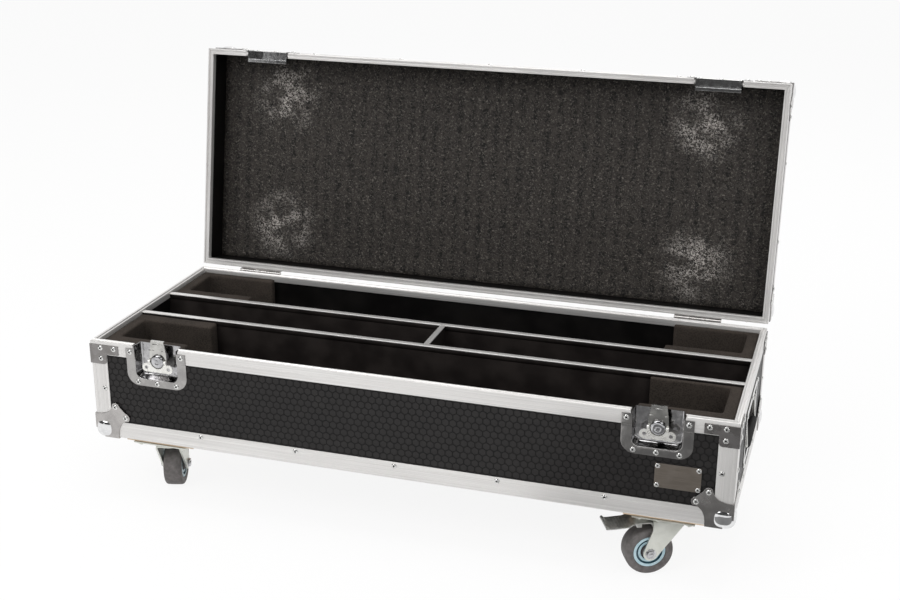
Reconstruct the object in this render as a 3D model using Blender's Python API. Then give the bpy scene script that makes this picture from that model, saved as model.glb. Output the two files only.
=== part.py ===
"""Lighting flight case: a long plywood tray on four swivel casters, with its hinged lid open.

Metres, +Z up. The origin is the middle of the floor panel's underside. +X runs to the right along
the front, and the front faces -Y. The lid is modelled shut and turned open about its hinge.
"""

import math

import bmesh
import bpy
from mathutils import Matrix, Vector

# Case
CASE_LENGTH = 1.100
CASE_WIDTH = 0.420
TRAY_HEIGHT = 0.1775
LID_DEPTH = 0.076
LID_OPEN_ANGLE = math.radians(99.6)
PLY = 0.007
FLOOR_REBATE = 0.00008
FIT = 0.0003
OVERRUN = 0.006

# Aluminium extrusions
SHEET = 0.0015
EDGE_LEG = 0.030
RIM_FACE = 0.024
RIM_LIP = 0.012
LID_WEB = 0.004
TONGUE_HEIGHT = 0.002
TONGUE_BASE = 0.0048
TONGUE_TOP = 0.0026
TONGUE_PLAY = 0.0005

# Pressed steel fittings
FITTING = 0.0012
PAN_WALL = 0.001

# Ball corners
BALL_RADIUS = 0.0175
BALL_INSET = 0.012
BALL_CORE = 0.0054
CORNER_REACH = 0.0425
CORNER_SHOULDER = 0.031
LOBE_FAR = 0.0575
LOBE_NEAR = 0.039
LOBE_RADIUS = 0.008

# Corner braces
BRACE_DROP = 0.0055
BRACE_ARM = 0.017
BRACE_REACH = 0.053
BRACE_HEIGHT = 0.0355
BRACE_ROUND = 0.006

# Latches
LATCH_END = 0.1235
DISH_HALF = 0.056
DISH_HEIGHT = 0.0725
DISH_ROUND = 0.022
PAN_HALF = 0.039
PAN_DEPTH = 0.020
PAN_ROUND = 0.012
HUB_DROP = 0.0265
HUB_RADIUS = 0.006
CAP_RADIUS = 0.012
CAP_BACK = 0.0064
CAP_THICKNESS = 0.003
CAP_DOME = 0.001
CAP_EDGE = 0.003
WING_PIN_DEPTH = 0.005
WING_PIN_RADIUS = 0.0014
WING_EYE_BORE = 0.0017
WING_EYE_RADIUS = 0.0029
WING_EYE_INNER = 0.0128
WING_EYE_OUTER = 0.0168
WING_THICKNESS = 0.0016
WING_CUT_RADIUS = 0.013
EAR_X = 0.0205
EAR_DROP = 0.012
EAR_RADIUS = 0.008
EAR_HOLE = 0.0032
WING_BAR_DROP = 0.0195
WING_SWEEP_PLAY = 0.0008
HOOK_SHEET = 0.0016
HOOK_DEPTH = 0.0082
HOOK_ADVANCE = 0.005
HOOK_DROP = 0.0055
HOOK_LIP = 0.0035
HOOK_TOP_HALF = 0.012
HOOK_BASE_HALF = 0.0155
HOOK_TAIL = 0.016
HOOK_TAPER_DROP = 0.012
HOOK_SLOT_PLAY = 0.0004
LEDGE = 0.0014

# Keepers in the lid
KEEPER_HEIGHT = 0.0455
KEEPER_PAN_HEIGHT = 0.033
KEEPER_ROUND = 0.010

# Side handles
HANDLE_Z = 0.088
HANDLE_FLANGE = 0.014
HANDLE_ROUND = 0.012
HANDLE_PAN_HALF_LENGTH = 0.072
HANDLE_PAN_HALF_HEIGHT = 0.036
HANDLE_PAN_DEPTH = 0.0074
BAIL_RADIUS = 0.003
BAIL_BORE = 0.0034
BAIL_INSET = 0.012
BAIL_PIVOT_RISE = 0.022
BAIL_PIVOT_DEPTH = 0.0036
BAIL_DROP = 0.040
BAIL_BEND = 0.004
LUG_THICKNESS = 0.006
LUG_HALF_HEIGHT = 0.0052
LUG_BORE_DEPTH = 0.005
GRIP_RADIUS = 0.0066
GRIP_INSET = 0.018

# Dividers
DIVIDER_FRONT_Y = -0.046
DIVIDER_BACK_Y = 0.058
DIVIDER_DROP = 0.0025
CAP_WIDTH = 0.010
CAP_HEIGHT = 0.013

# Foam
FOAM_DROP = 0.0055
FOAM_LENGTH = 0.151
FOAM_END = 0.021
FOAM_BASE = 0.040
FOAM_CHEEK_FRONT_LEFT = (0.038, 0.027)
FOAM_CHEEK_FRONT_RIGHT = (0.036, 0.009)
FOAM_CHEEK_BACK_LEFT = (0.032, 0.015)
FOAM_CHEEK_BACK_RIGHT = (0.032, 0.009)
LID_FOAM = 0.010
LID_FOAM_MARGIN = 0.001

# Casters
BOARD = 0.012
BOARD_END_INSET = 0.045
BOARD_WIDTH = 0.128
BOARD_FRONT_INSET = 0.020
CASTER_END = 0.1085
CASTER_SIDE = 0.060
PLATE = 0.0025
PLATE_HALF_X = 0.050
PLATE_HALF_Y = 0.042
HEAD_RADIUS = 0.027
HEAD_HEIGHT = 0.006
FORK_RADIUS = 0.031
FORK_SHEET = 0.003
FORK_GAP_HALF = 0.019
FORK_FRONT = 0.026
FORK_REAR = 0.028
FORK_SHOULDER = 0.018
RACE = 0.002
TRAIL = 0.030
WHEEL_RADIUS = 0.040
WHEEL_DROP = 0.0805
TYRE_HALF = 0.016
TYRE_RECESS = 0.0008
TYRE_SHOULDER = 0.003
RIM_RING_RADIUS = 0.0245
RIM_RING_DEPTH = 0.003
HUB_BOSS_RADIUS = 0.012
HUB_HALF = 0.0185
WEB_HALF = 0.011
AXLE_RADIUS = 0.005
AXLE_BORE = 0.0054
AXLE_EYE = 0.012
NUT_RADIUS = 0.008
NUT_THICKNESS = 0.005
SWIVEL_FRONT_LEFT = math.radians(106.4)
SWIVEL_FRONT_RIGHT = math.radians(206.2)
SWIVEL_BACK_LEFT = math.radians(75)
SWIVEL_BACK_RIGHT = math.radians(128)

# Brake pedals
BRAKE_PIN_X = 0.024
BRAKE_PIN_DROP = 0.010
BRAKE_PIN_RADIUS = 0.0025
PEDAL_BORE = 0.0029
PEDAL_EYE = 0.005
PEDAL_HALF = 0.0175
PEDAL_TREAD_HALF = 0.022
PEDAL_SHEET = 0.0018
PEDAL_BEND_X = 0.058
PEDAL_TREAD_X = 0.086
PEDAL_TREAD_RISE = 0.004
PEDAL_LIP_X = 0.092
PEDAL_LIP_RISE = 0.009
SHOE_X = 0.044
SHOE_LENGTH = 0.008
SHOE_HALF = 0.012
SHOE_DROP = 0.0105

# Hinges
HINGE_END = 0.1235
HINGE_OFFSET = 0.0053
HINGE_HALF = 0.042
HINGE_KNUCKLE = 0.004
HINGE_PIN = 0.002
HINGE_BORE = 0.0023
HINGE_MIDDLE_HALF = 0.014
HINGE_LEAF = 0.0015
HINGE_LEAF_HEIGHT = 0.020
HINGE_LEAF_CLEAR = 0.0026

# Numbers of sides and steps
ARC_STEPS = 5
BEND_STEPS = 3
NUT_SIDES = 6
BALL_SIDES = 16
BALL_RINGS = 9
SMALL_SIDES = 12
ROUND_SIDES = 20
WHEEL_SIDES = 28

SHARP_ANGLE = math.radians(35)
BALL_SHARP_ANGLE = math.radians(24)

# Places that follow from the sizes
HALF_LENGTH = CASE_LENGTH / 2
HALF_WIDTH = CASE_WIDTH / 2
FRONT = -HALF_WIDTH
PANEL_INSET = SHEET + FIT
INNER_INSET = PANEL_INSET + PLY
RIM_WIDTH = INNER_INSET + FIT + SHEET
BASE = FLOOR_REBATE - PANEL_INSET
RIM_TOP = BASE + TRAY_HEIGHT
SEAM = RIM_TOP + FIT
LID_TOP = SEAM + LID_DEPTH
FITTING_OUT = FIT + FITTING
LATCH_X = HALF_LENGTH - LATCH_END
RIM_CUT_HALF = PAN_HALF + PAN_WALL + FIT
TRAY_RISER = RIM_TOP - RIM_FACE - FIT
KEEPER_RISER = SEAM + RIM_FACE + FIT
HUB_Z = RIM_TOP - HUB_DROP
EAR_SWEEP = math.hypot(EAR_X, EAR_DROP) + EAR_RADIUS
PAN_BOTTOM = HUB_Z - EAR_SWEEP - WING_SWEEP_PLAY
HOOK_TOP = SEAM + LEDGE + FIT + HOOK_SHEET + HOOK_DROP
LEDGE_FRONT = HOOK_DEPTH + HOOK_ADVANCE + HOOK_SHEET + FIT
HANDLE_HALF_LENGTH = HANDLE_PAN_HALF_LENGTH + HANDLE_FLANGE
HANDLE_HALF_HEIGHT = HANDLE_PAN_HALF_HEIGHT + HANDLE_FLANGE
BAIL_HALF = HANDLE_PAN_HALF_LENGTH - BAIL_INSET
GRIP_HALF = HANDLE_PAN_HALF_LENGTH - GRIP_INSET
HINGE_X = HALF_LENGTH - HINGE_END
HINGE_Y = HALF_WIDTH + HINGE_OFFSET
HINGE_Z = (RIM_TOP + SEAM) / 2
CASTER_X = HALF_LENGTH - CASTER_END
CASTER_Y = HALF_WIDTH - CASTER_SIDE
BOARD_TOP = BASE - FIT
PLATE_TOP = BOARD_TOP - BOARD - FIT
FORK_TOP = PLATE_TOP - PLATE - HEAD_HEIGHT - FIT
WHEEL_Z = BASE - WHEEL_DROP
FORK_OUTER = FORK_GAP_HALF + FORK_SHEET


def clear_scene():
    """Remove the startup objects."""
    for item in list(bpy.data.objects):
        bpy.data.objects.remove(item)


def material(name, colour, roughness, metallic=0.0):
    """A plain Principled material."""
    made = bpy.data.materials.new(name)
    made.use_nodes = True
    shader = made.node_tree.nodes["Principled BSDF"]
    shader.inputs["Base Color"].default_value = (*colour, 1.0)
    shader.inputs["Roughness"].default_value = roughness
    shader.inputs["Metallic"].default_value = metallic
    return made


def solid(points, faces):
    """A mesh object from points and faces, with its faces turned outwards."""
    mesh = bpy.data.meshes.new("solid")
    mesh.from_pydata([tuple(point) for point in points], [], faces)
    shape = bmesh.new()
    shape.from_mesh(mesh)
    bmesh.ops.recalc_face_normals(shape, faces=shape.faces)
    shape.to_mesh(mesh)
    shape.free()
    item = bpy.data.objects.new("solid", mesh)
    bpy.context.scene.collection.objects.link(item)
    return item


def prism(outline, axis, low, high):
    """An outline drawn in the plane square to an axis, extruded along it from low to high."""
    order = {"X": (2, 0, 1), "Y": (0, 2, 1), "Z": (0, 1, 2)}[axis]
    points = []
    for level in (low, high):
        for u, v in outline:
            triple = (u, v, level)
            points.append(tuple(triple[place] for place in order))
    count = len(outline)
    faces = [tuple(range(count)), tuple(range(count, 2 * count))]
    for index in range(count):
        after = (index + 1) % count
        faces.append((index, after, after + count, index + count))
    return solid(points, faces)


def block(low, high):
    """A box between two corners."""
    outline = [(low[0], low[1]), (high[0], low[1]), (high[0], high[1]), (low[0], high[1])]
    return prism(outline, "Z", low[2], high[2])


def arc(centre, radius, start, end, steps=ARC_STEPS):
    """Points on an arc, with its angles in degrees."""
    points = []
    for step in range(steps + 1):
        angle = math.radians(start + (end - start) * step / steps)
        points.append((centre[0] + radius * math.cos(angle), centre[1] + radius * math.sin(angle)))
    return points


def bend(start, control, end, steps=ARC_STEPS):
    """Points on a quadratic curve, without its last one."""
    points = []
    for step in range(steps):
        t = step / steps
        weights = ((1 - t) ** 2, 2 * t * (1 - t), t * t)
        points.append(tuple(sum(w * p[i] for w, p in zip(weights, (start, control, end))) for i in (0, 1)))
    return points


def tub_outline(half, bottom, top, radius):
    """An upright rectangle with its two bottom corners rounded."""
    return [
        (half, top),
        (-half, top),
        *arc((-half + radius, bottom + radius), radius, 180, 270),
        *arc((half - radius, bottom + radius), radius, 270, 360),
    ]


def rounded_outline(low, high, radius):
    """A rectangle with four rounded corners."""
    return [
        *arc((low[0] + radius, low[1] + radius), radius, 180, 270),
        *arc((high[0] - radius, low[1] + radius), radius, 270, 360),
        *arc((high[0] - radius, high[1] - radius), radius, 0, 90),
        *arc((low[0] + radius, high[1] - radius), radius, 90, 180),
    ]


def rod(start, end, radius, sides=ROUND_SIDES):
    """A round bar between two points."""
    start, end = Vector(start), Vector(end)
    turn = (end - start).to_track_quat("Z", "Y").to_matrix().to_4x4()
    item = prism(arc((0, 0), radius, 0, 360 - 360 / sides, sides - 1), "Z", 0, (end - start).length)
    item.data.transform(Matrix.Translation(start) @ turn)
    return item


def tube(path, normal, radius, sides):
    """A round bar along a path that lies in one plane, mitred at each point."""
    points, count = [], len(path)
    for index, place in enumerate(path):
        before = (place - path[max(index - 1, 0)]).normalized()
        after = (path[min(index + 1, count - 1)] - place).normalized()
        along = (before + after).normalized()
        reach = 1 / along.dot(after if after.length else before)
        side = normal.cross(along) * reach
        for step in range(sides):
            angle = 2 * math.pi * step / sides
            points.append(place + (side * math.cos(angle) + normal * math.sin(angle)) * radius)
    faces = [tuple(range(sides)), tuple(range((count - 1) * sides, count * sides))]
    for index in range(count - 1):
        low, high = index * sides, (index + 1) * sides
        for step in range(sides):
            onward = (step + 1) % sides
            faces.append((low + step, low + onward, high + onward, high + step))
    return solid(points, faces)


def turned(profile, sides):
    """A closed outline of (radius, height) turned about Z. Points on the axis become poles."""
    points, rings = [], []
    for radius, height in profile:
        steps = sides if radius > 0 else 1
        rings.append([len(points) + step for step in range(steps)])
        for step in range(steps):
            angle = 2 * math.pi * step / sides
            points.append((radius * math.cos(angle), radius * math.sin(angle), height))
    faces = []
    for index, ring in enumerate(rings):
        after = rings[(index + 1) % len(rings)]
        for step in range(sides):
            corners = (
                ring[step % len(ring)],
                ring[(step + 1) % len(ring)],
                after[(step + 1) % len(after)],
                after[step % len(after)],
            )
            face = tuple(dict.fromkeys(corners))
            if len(face) > 2:
                faces.append(face)
    return solid(points, faces)


def ball(centre, radius):
    """A sphere, turned so that none of its points lies on a plane through its centre."""
    profile = arc((0, 0), radius, -90, 90, BALL_RINGS)
    profile = [(max(0, point[0]), point[1]) for point in profile]
    profile[0], profile[-1] = (0, -radius), (0, radius)
    item = turned(profile, BALL_SIDES)
    item.data.transform(Matrix.Translation(centre) @ Matrix.Rotation(math.pi / BALL_SIDES, 4, "Z"))
    return item


def mitred_ring(profile):
    """A closed profile of (inset from the case's face, height) run round the case, mitred."""
    points, count = [], len(profile)
    for sign_x, sign_y in ((-1, -1), (1, -1), (1, 1), (-1, 1)):
        for inset, height in profile:
            points.append((sign_x * (HALF_LENGTH - inset), sign_y * (HALF_WIDTH - inset), height))
    faces = []
    for corner in range(4):
        here, onward = corner * count, (corner + 1) % 4 * count
        for index in range(count):
            after = (index + 1) % count
            faces.append((here + index, here + after, onward + after, onward + index))
    return solid(points, faces)


def combine(base, others, operation):
    """Join the other pieces to the base, or cut them from it. They are used up."""
    for other in others:
        other.hide_render = True
        other.display_type = "WIRE"
        modifier = base.modifiers.new(operation.title(), "BOOLEAN")
        modifier.operation = operation
        modifier.solver = "EXACT"
        modifier.object = other
    graph = bpy.context.evaluated_depsgraph_get()
    mesh = bpy.data.meshes.new_from_object(base.evaluated_get(graph))
    base.modifiers.clear()
    base.data = mesh
    for other in others:
        bpy.data.objects.remove(other)
    return base


def joined(base, *others):
    """The union of several pieces."""
    return combine(base, others, "UNION")


def cut(base, *others):
    """A piece with others cut out of it."""
    return combine(base, others, "DIFFERENCE")


def mirrored_copy(item, matrix):
    """A copy of a piece, moved or mirrored."""
    mesh = item.data.copy()
    mesh.transform(matrix)
    if matrix.determinant() < 0:
        mesh.flip_normals()
    copy = bpy.data.objects.new("copy", mesh)
    bpy.context.scene.collection.objects.link(copy)
    return copy


def finish(item, name, finish_material, parent=None, location=(0, 0, 0), sharp=SHARP_ANGLE):
    """Name a piece, give it its material and place, and shade its round faces smooth."""
    item.name = name
    item.data.name = name
    item.data.materials.clear()
    item.data.materials.append(finish_material)
    item.data.shade_smooth()
    item.data.set_sharp_from_angle(angle=sharp)
    item.parent = parent
    item.location = location
    return item


def empty(name, location, turn=(0, 0, 0)):
    """A place or a joint's axis."""
    item = bpy.data.objects.new(name, None)
    item.location = location
    item.rotation_euler = turn
    bpy.context.scene.collection.objects.link(item)
    return item


def corner_matrix(sign_x, sign_y, height, sign_z):
    """Takes inward distances from the case's corner to the case's own frame."""
    place = Matrix.Translation((sign_x * HALF_LENGTH, sign_y * HALF_WIDTH, height))
    return place @ Matrix.Diagonal((-sign_x, -sign_y, sign_z, 1))


CORNERS = {
    "front_left": (-1, -1),
    "front_right": (1, -1),
    "back_left": (-1, 1),
    "back_right": (1, 1),
}
SIDES = {"left": -1, "right": 1}


# Extrusions


def edge_profile(height, up):
    """The angle that runs round the bottom of the tray (up = 1) or the top of the lid (up = -1)."""
    return [
        (0, height),
        (0, height + up * EDGE_LEG),
        (SHEET, height + up * EDGE_LEG),
        (SHEET, height + up * SHEET),
        (EDGE_LEG, height + up * SHEET),
        (EDGE_LEG, height),
    ]


def tongue_points(height, direction, play):
    """The ridge on the tray's rim, or the groove that takes it, across the rim's middle."""
    middle = RIM_WIDTH / 2
    base, top = TONGUE_BASE / 2 + play, TONGUE_TOP / 2 + play
    rise = direction * (TONGUE_HEIGHT + play)
    return [
        (middle + base, height),
        (middle + top, height + rise),
        (middle - top, height + rise),
        (middle - base, height),
    ]


def tray_rim_profile():
    """A channel over the panel's top edge, with the ridge on it."""
    return [
        (0, RIM_TOP),
        (0, RIM_TOP - RIM_FACE),
        (SHEET, RIM_TOP - RIM_FACE),
        (SHEET, RIM_TOP - SHEET),
        (RIM_WIDTH - SHEET, RIM_TOP - SHEET),
        (RIM_WIDTH - SHEET, RIM_TOP - RIM_LIP),
        (RIM_WIDTH, RIM_TOP - RIM_LIP),
        (RIM_WIDTH, RIM_TOP),
        *tongue_points(RIM_TOP, 1, 0),
    ]


def lid_rim_profile():
    """A channel over the lid panel's edge, with the groove in its web."""
    return [
        (0, SEAM),
        (0, SEAM + RIM_FACE),
        (SHEET, SEAM + RIM_FACE),
        (SHEET, SEAM + LID_WEB),
        (RIM_WIDTH - SHEET, SEAM + LID_WEB),
        (RIM_WIDTH - SHEET, SEAM + RIM_LIP),
        (RIM_WIDTH, SEAM + RIM_LIP),
        (RIM_WIDTH, SEAM),
        *tongue_points(SEAM, 1, TONGUE_PLAY),
    ]


def posts(low, high):
    """Four corner angles between two heights."""
    outline = [(0, 0), (EDGE_LEG, 0), (EDGE_LEG, SHEET), (SHEET, SHEET), (SHEET, EDGE_LEG), (0, EDGE_LEG)]
    made = []
    for sign_x, sign_y in CORNERS.values():
        post = prism(outline, "Z", low, high)
        place = corner_matrix(sign_x, sign_y, 0, 1)
        made.append(mirrored_copy(post, place))
        bpy.data.objects.remove(post)
    return made


def corner_cuts(height, sign_z):
    """The room that the ball corners need in the extrusions."""
    made = []
    for sign_x, sign_y in CORNERS.values():
        notch = block((-OVERRUN, -OVERRUN, -OVERRUN), (BALL_INSET, BALL_INSET, BALL_INSET))
        sphere = ball((BALL_INSET, BALL_INSET, BALL_INSET), BALL_RADIUS + FIT)
        room = joined(sphere, notch)
        made.append(mirrored_copy(room, corner_matrix(sign_x, sign_y, height, sign_z)))
        bpy.data.objects.remove(room)
    return made


def rim_break(low, high):
    """The stretch of front rim that the latches and the short bar between them take."""
    reach = LATCH_X + RIM_CUT_HALF
    return block((-reach, FRONT - OVERRUN, low), (reach, FRONT + RIM_WIDTH + OVERRUN, high))


def front_bar(profile):
    """The short rim bar between the latches."""
    reach = LATCH_X - RIM_CUT_HALF
    return prism([(FRONT + inset, height) for inset, height in profile], "X", -reach, reach)


def make_tray_frame(metal):
    """Bottom edges, posts and the long rim, riveted into one frame, and the short front bar."""
    frame = joined(
        mitred_ring(edge_profile(BASE, 1)),
        mitred_ring(tray_rim_profile()),
        *posts(BASE + EDGE_LEG / 2, RIM_TOP - RIM_FACE / 2),
    )
    frame = cut(
        frame,
        rim_break(RIM_TOP - RIM_FACE - OVERRUN, RIM_TOP + OVERRUN),
        *corner_cuts(BASE, 1),
    )
    finish(frame, "tray_frame", metal)
    finish(front_bar(tray_rim_profile()), "tray_rim_front", metal)


def make_lid_frame(metal, lid, home):
    """Top edges, posts and the long rim of the lid, and its short front bar."""
    frame = joined(
        mitred_ring(edge_profile(LID_TOP, -1)),
        mitred_ring(lid_rim_profile()),
        *posts(SEAM + RIM_FACE / 2, LID_TOP - EDGE_LEG / 2),
    )
    frame = cut(
        frame,
        rim_break(SEAM - OVERRUN, SEAM + RIM_FACE + OVERRUN),
        *corner_cuts(LID_TOP, -1),
    )
    finish(frame, "lid_frame", metal, lid, home)
    finish(front_bar(lid_rim_profile()), "lid_rim_front", metal, lid, home)


# Plywood


def core_notches(height, sign_z):
    """Small cubes cut from a shell's corners for the ball corners' cores."""
    size = BALL_CORE + FIT
    made = []
    for sign_x, sign_y in CORNERS.values():
        notch = block((-OVERRUN, -OVERRUN, -OVERRUN), (size, size, size))
        made.append(mirrored_copy(notch, corner_matrix(sign_x, sign_y, height, sign_z)))
        bpy.data.objects.remove(notch)
    return made


def pan_window(sign, low, high):
    """The opening in a front panel that a latch pan goes through."""
    middle = sign * LATCH_X
    return block(
        (middle - RIM_CUT_HALF, FRONT - OVERRUN, low),
        (middle + RIM_CUT_HALF, FRONT + INNER_INSET + OVERRUN, high),
    )


def handle_window(sign):
    """The opening in a side panel that a handle pan goes into."""
    half = HANDLE_PAN_HALF_LENGTH + PAN_WALL + FIT
    rise = HANDLE_PAN_HALF_HEIGHT + PAN_WALL + FIT
    near, far = sign * (HALF_LENGTH - INNER_INSET - OVERRUN), sign * (HALF_LENGTH + OVERRUN)
    return block((min(near, far), -half, HANDLE_Z - rise), (max(near, far), half, HANDLE_Z + rise))


def make_tray_shell(wood):
    """Four walls and the floor, open at the top. The floor is rebated for the bottom extrusions."""
    top = RIM_TOP - SHEET - FIT
    walls = block(
        (-HALF_LENGTH + PANEL_INSET, FRONT + PANEL_INSET, FLOOR_REBATE),
        (HALF_LENGTH - PANEL_INSET, HALF_WIDTH - PANEL_INSET, top),
    )
    field_x, field_y = HALF_LENGTH - EDGE_LEG - FIT, HALF_WIDTH - EDGE_LEG - FIT
    shell = joined(walls, block((-field_x, -field_y, 0), (field_x, field_y, PLY / 2)))
    inside = block(
        (-HALF_LENGTH + INNER_INSET, FRONT + INNER_INSET, PLY),
        (HALF_LENGTH - INNER_INSET, HALF_WIDTH - INNER_INSET, top + OVERRUN),
    )
    low = PAN_BOTTOM - PAN_WALL - FIT
    windows = [pan_window(sign, low, top + OVERRUN) for sign in SIDES.values()]
    windows += [handle_window(sign) for sign in SIDES.values()]
    finish(cut(shell, inside, *windows, *core_notches(BASE, 1)), "tray_shell", wood)


def make_lid_shell(wood, lid, home):
    """The lid's top panel and walls, open at the bottom."""
    low, high = SEAM + LID_WEB + FIT, LID_TOP - PANEL_INSET
    shell = block(
        (-HALF_LENGTH + PANEL_INSET, FRONT + PANEL_INSET, low),
        (HALF_LENGTH - PANEL_INSET, HALF_WIDTH - PANEL_INSET, high),
    )
    inside = block(
        (-HALF_LENGTH + INNER_INSET, FRONT + INNER_INSET, low - OVERRUN),
        (HALF_LENGTH - INNER_INSET, HALF_WIDTH - INNER_INSET, high - PLY),
    )
    top = SEAM + KEEPER_PAN_HEIGHT + PAN_WALL + FIT
    windows = [pan_window(sign, low - OVERRUN, top) for sign in SIDES.values()]
    finish(cut(shell, inside, *windows, *core_notches(LID_TOP, -1)), "lid_shell", wood, lid, home)


# Ball corners and braces


def corner_flange(axis):
    """One of a ball corner's three flanges, as inward distances from the case's corner."""
    far, near = (LOBE_FAR, LOBE_NEAR), (LOBE_NEAR, LOBE_FAR)
    lobe = arc(far, LOBE_RADIUS, -50, 80, BEND_STEPS)
    shoulder = bend((CORNER_REACH, 0), (CORNER_REACH, CORNER_SHOULDER), lobe[0], BEND_STEPS)
    half = [(CORNER_REACH, -FITTING_OUT), *shoulder, *lobe]
    other = [(v, u) for u, v in reversed(half)]
    outline = [(-FITTING_OUT, -FITTING_OUT), *half, *other]
    return prism(outline, axis, -FITTING_OUT, -FIT)


def ball_corner():
    """A ball corner as inward distances from the case's corner."""
    far = BALL_INSET + BALL_RADIUS + OVERRUN
    hollow = block((SHEET, SHEET, SHEET), (far, far, far))
    core = block((0, 0, 0), (BALL_CORE, BALL_CORE, BALL_CORE))
    dome = cut(ball((BALL_INSET, BALL_INSET, BALL_INSET), BALL_RADIUS), cut(hollow, core))
    flanges = joined(corner_flange("X"), corner_flange("Y"), corner_flange("Z"))
    reach = -FITTING_OUT - OVERRUN
    notch = block((reach, reach, reach), (BALL_INSET, BALL_INSET, BALL_INSET))
    return joined(cut(flanges, notch), dome)


def make_ball_corners(zinc, lid, home):
    """Eight ball corners, under the tray and on top of the lid."""
    corner = ball_corner()
    for place, (sign_x, sign_y) in CORNERS.items():
        low = mirrored_copy(corner, corner_matrix(sign_x, sign_y, BASE, 1))
        finish(low, f"tray_ball_corner_{place}", zinc, sharp=BALL_SHARP_ANGLE)
        high = mirrored_copy(corner, corner_matrix(sign_x, sign_y, LID_TOP, -1))
        finish(high, f"lid_ball_corner_{place}", zinc, lid, home, BALL_SHARP_ANGLE)
    bpy.data.objects.remove(corner)


def make_braces(zinc):
    """The braces that tie the rim to the posts, bent round each corner."""
    top = RIM_TOP - BRACE_DROP
    bottom = top - BRACE_HEIGHT
    outline = [
        (-FITTING_OUT, top),
        (-FITTING_OUT, bottom),
        *arc((EDGE_LEG - BRACE_ROUND, bottom + BRACE_ROUND), BRACE_ROUND, -90, 0),
        (EDGE_LEG, top - BRACE_ARM),
        (BRACE_REACH, top - BRACE_ARM),
        (BRACE_REACH, top),
    ]
    brace = joined(
        prism(outline, "Y", -FITTING_OUT, -FIT),
        prism(outline, "X", -FITTING_OUT, -FIT),
    )
    for place, (sign_x, sign_y) in CORNERS.items():
        copy = mirrored_copy(brace, corner_matrix(sign_x, sign_y, 0, 1))
        finish(copy, f"tray_brace_{place}", zinc)
    bpy.data.objects.remove(brace)


# Latches


def latch_dish():
    """The tray half of a recessed latch, about its own middle."""
    bottom = RIM_TOP - DISH_HEIGHT
    step_low = TRAY_RISER - FITTING
    face, panel_face = FRONT - FITTING_OUT, FRONT + PANEL_INSET - FITTING_OUT
    flange_back = FRONT + PANEL_INSET - FIT
    pan_back = FRONT + PAN_DEPTH + PAN_WALL
    pan = tub_outline(PAN_HALF + PAN_WALL, PAN_BOTTOM - PAN_WALL, RIM_TOP, PAN_ROUND + PAN_WALL)
    low_pan = [(x, min(z, TRAY_RISER)) for x, z in pan]
    high_half = PAN_HALF + PAN_WALL
    dish = joined(
        prism(tub_outline(DISH_HALF, bottom, TRAY_RISER, DISH_ROUND), "Y", panel_face, flange_back),
        block((-DISH_HALF, face, step_low), (DISH_HALF, flange_back, TRAY_RISER)),
        block((-DISH_HALF, face, step_low), (DISH_HALF, FRONT - FIT, RIM_TOP - BRACE_DROP)),
        prism(low_pan, "Y", panel_face, pan_back),
        block((-high_half, face, step_low), (high_half, pan_back, RIM_TOP)),
    )
    room_outline = tub_outline(PAN_HALF, PAN_BOTTOM, RIM_TOP + OVERRUN, PAN_ROUND)
    room = prism(room_outline, "Y", face - OVERRUN, FRONT + PAN_DEPTH)
    return cut(dish, room)


def latch_cam():
    """The hub that the wing turns, about its own axis: Y runs into the case from the front face."""
    cap_front = CAP_BACK - CAP_THICKNESS
    profile = [
        (0, PAN_DEPTH - FIT),
        (HUB_RADIUS, PAN_DEPTH - FIT),
        (HUB_RADIUS, CAP_BACK),
        (CAP_RADIUS, CAP_BACK),
        (CAP_RADIUS, cap_front),
        (CAP_RADIUS - CAP_EDGE, cap_front - CAP_DOME),
        (0, cap_front - CAP_DOME),
    ]
    hub = turned(profile, ROUND_SIDES)
    hub.data.transform(Matrix.Rotation(math.radians(-90), 4, "X"))
    pin = rod(
        (-WING_EYE_OUTER, WING_PIN_DEPTH, 0),
        (WING_EYE_OUTER, WING_PIN_DEPTH, 0),
        WING_PIN_RADIUS,
        SMALL_SIDES,
    )
    return joined(hub, pin)


def latch_wing():
    """The butterfly wing, about its cross pin."""
    ear = arc((EAR_X, -EAR_DROP), EAR_RADIUS, 118, -100, 2 * ARC_STEPS)
    eye = [(WING_EYE_INNER, WING_EYE_RADIUS), (WING_EYE_OUTER, WING_EYE_RADIUS)]
    side = [*eye, *ear, (EAR_X / 2, -WING_BAR_DROP)]
    mirror = [(-x, z) for x, z in reversed(side)]
    inner = arc((0, 0), WING_CUT_RADIUS, 190, 350, 2 * ARC_STEPS)
    outline = [*side, *mirror, *inner]
    half = WING_THICKNESS / 2
    wing = prism(outline, "Y", -half, half)
    eyes, bores = [], []
    for sign in SIDES.values():
        near, far = sign * WING_EYE_INNER, sign * WING_EYE_OUTER
        eyes.append(rod((near, 0, 0), (far, 0, 0), WING_EYE_RADIUS, SMALL_SIDES))
        hole = sign * EAR_X
        bores.append(rod((hole, -OVERRUN, -EAR_DROP), (hole, OVERRUN, -EAR_DROP), EAR_HOLE, SMALL_SIDES))
    end = WING_EYE_OUTER + OVERRUN
    bore = rod((-end, 0, 0), (end, 0, 0), WING_EYE_BORE, SMALL_SIDES)
    return cut(joined(wing, *eyes), *bores, bore)


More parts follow.
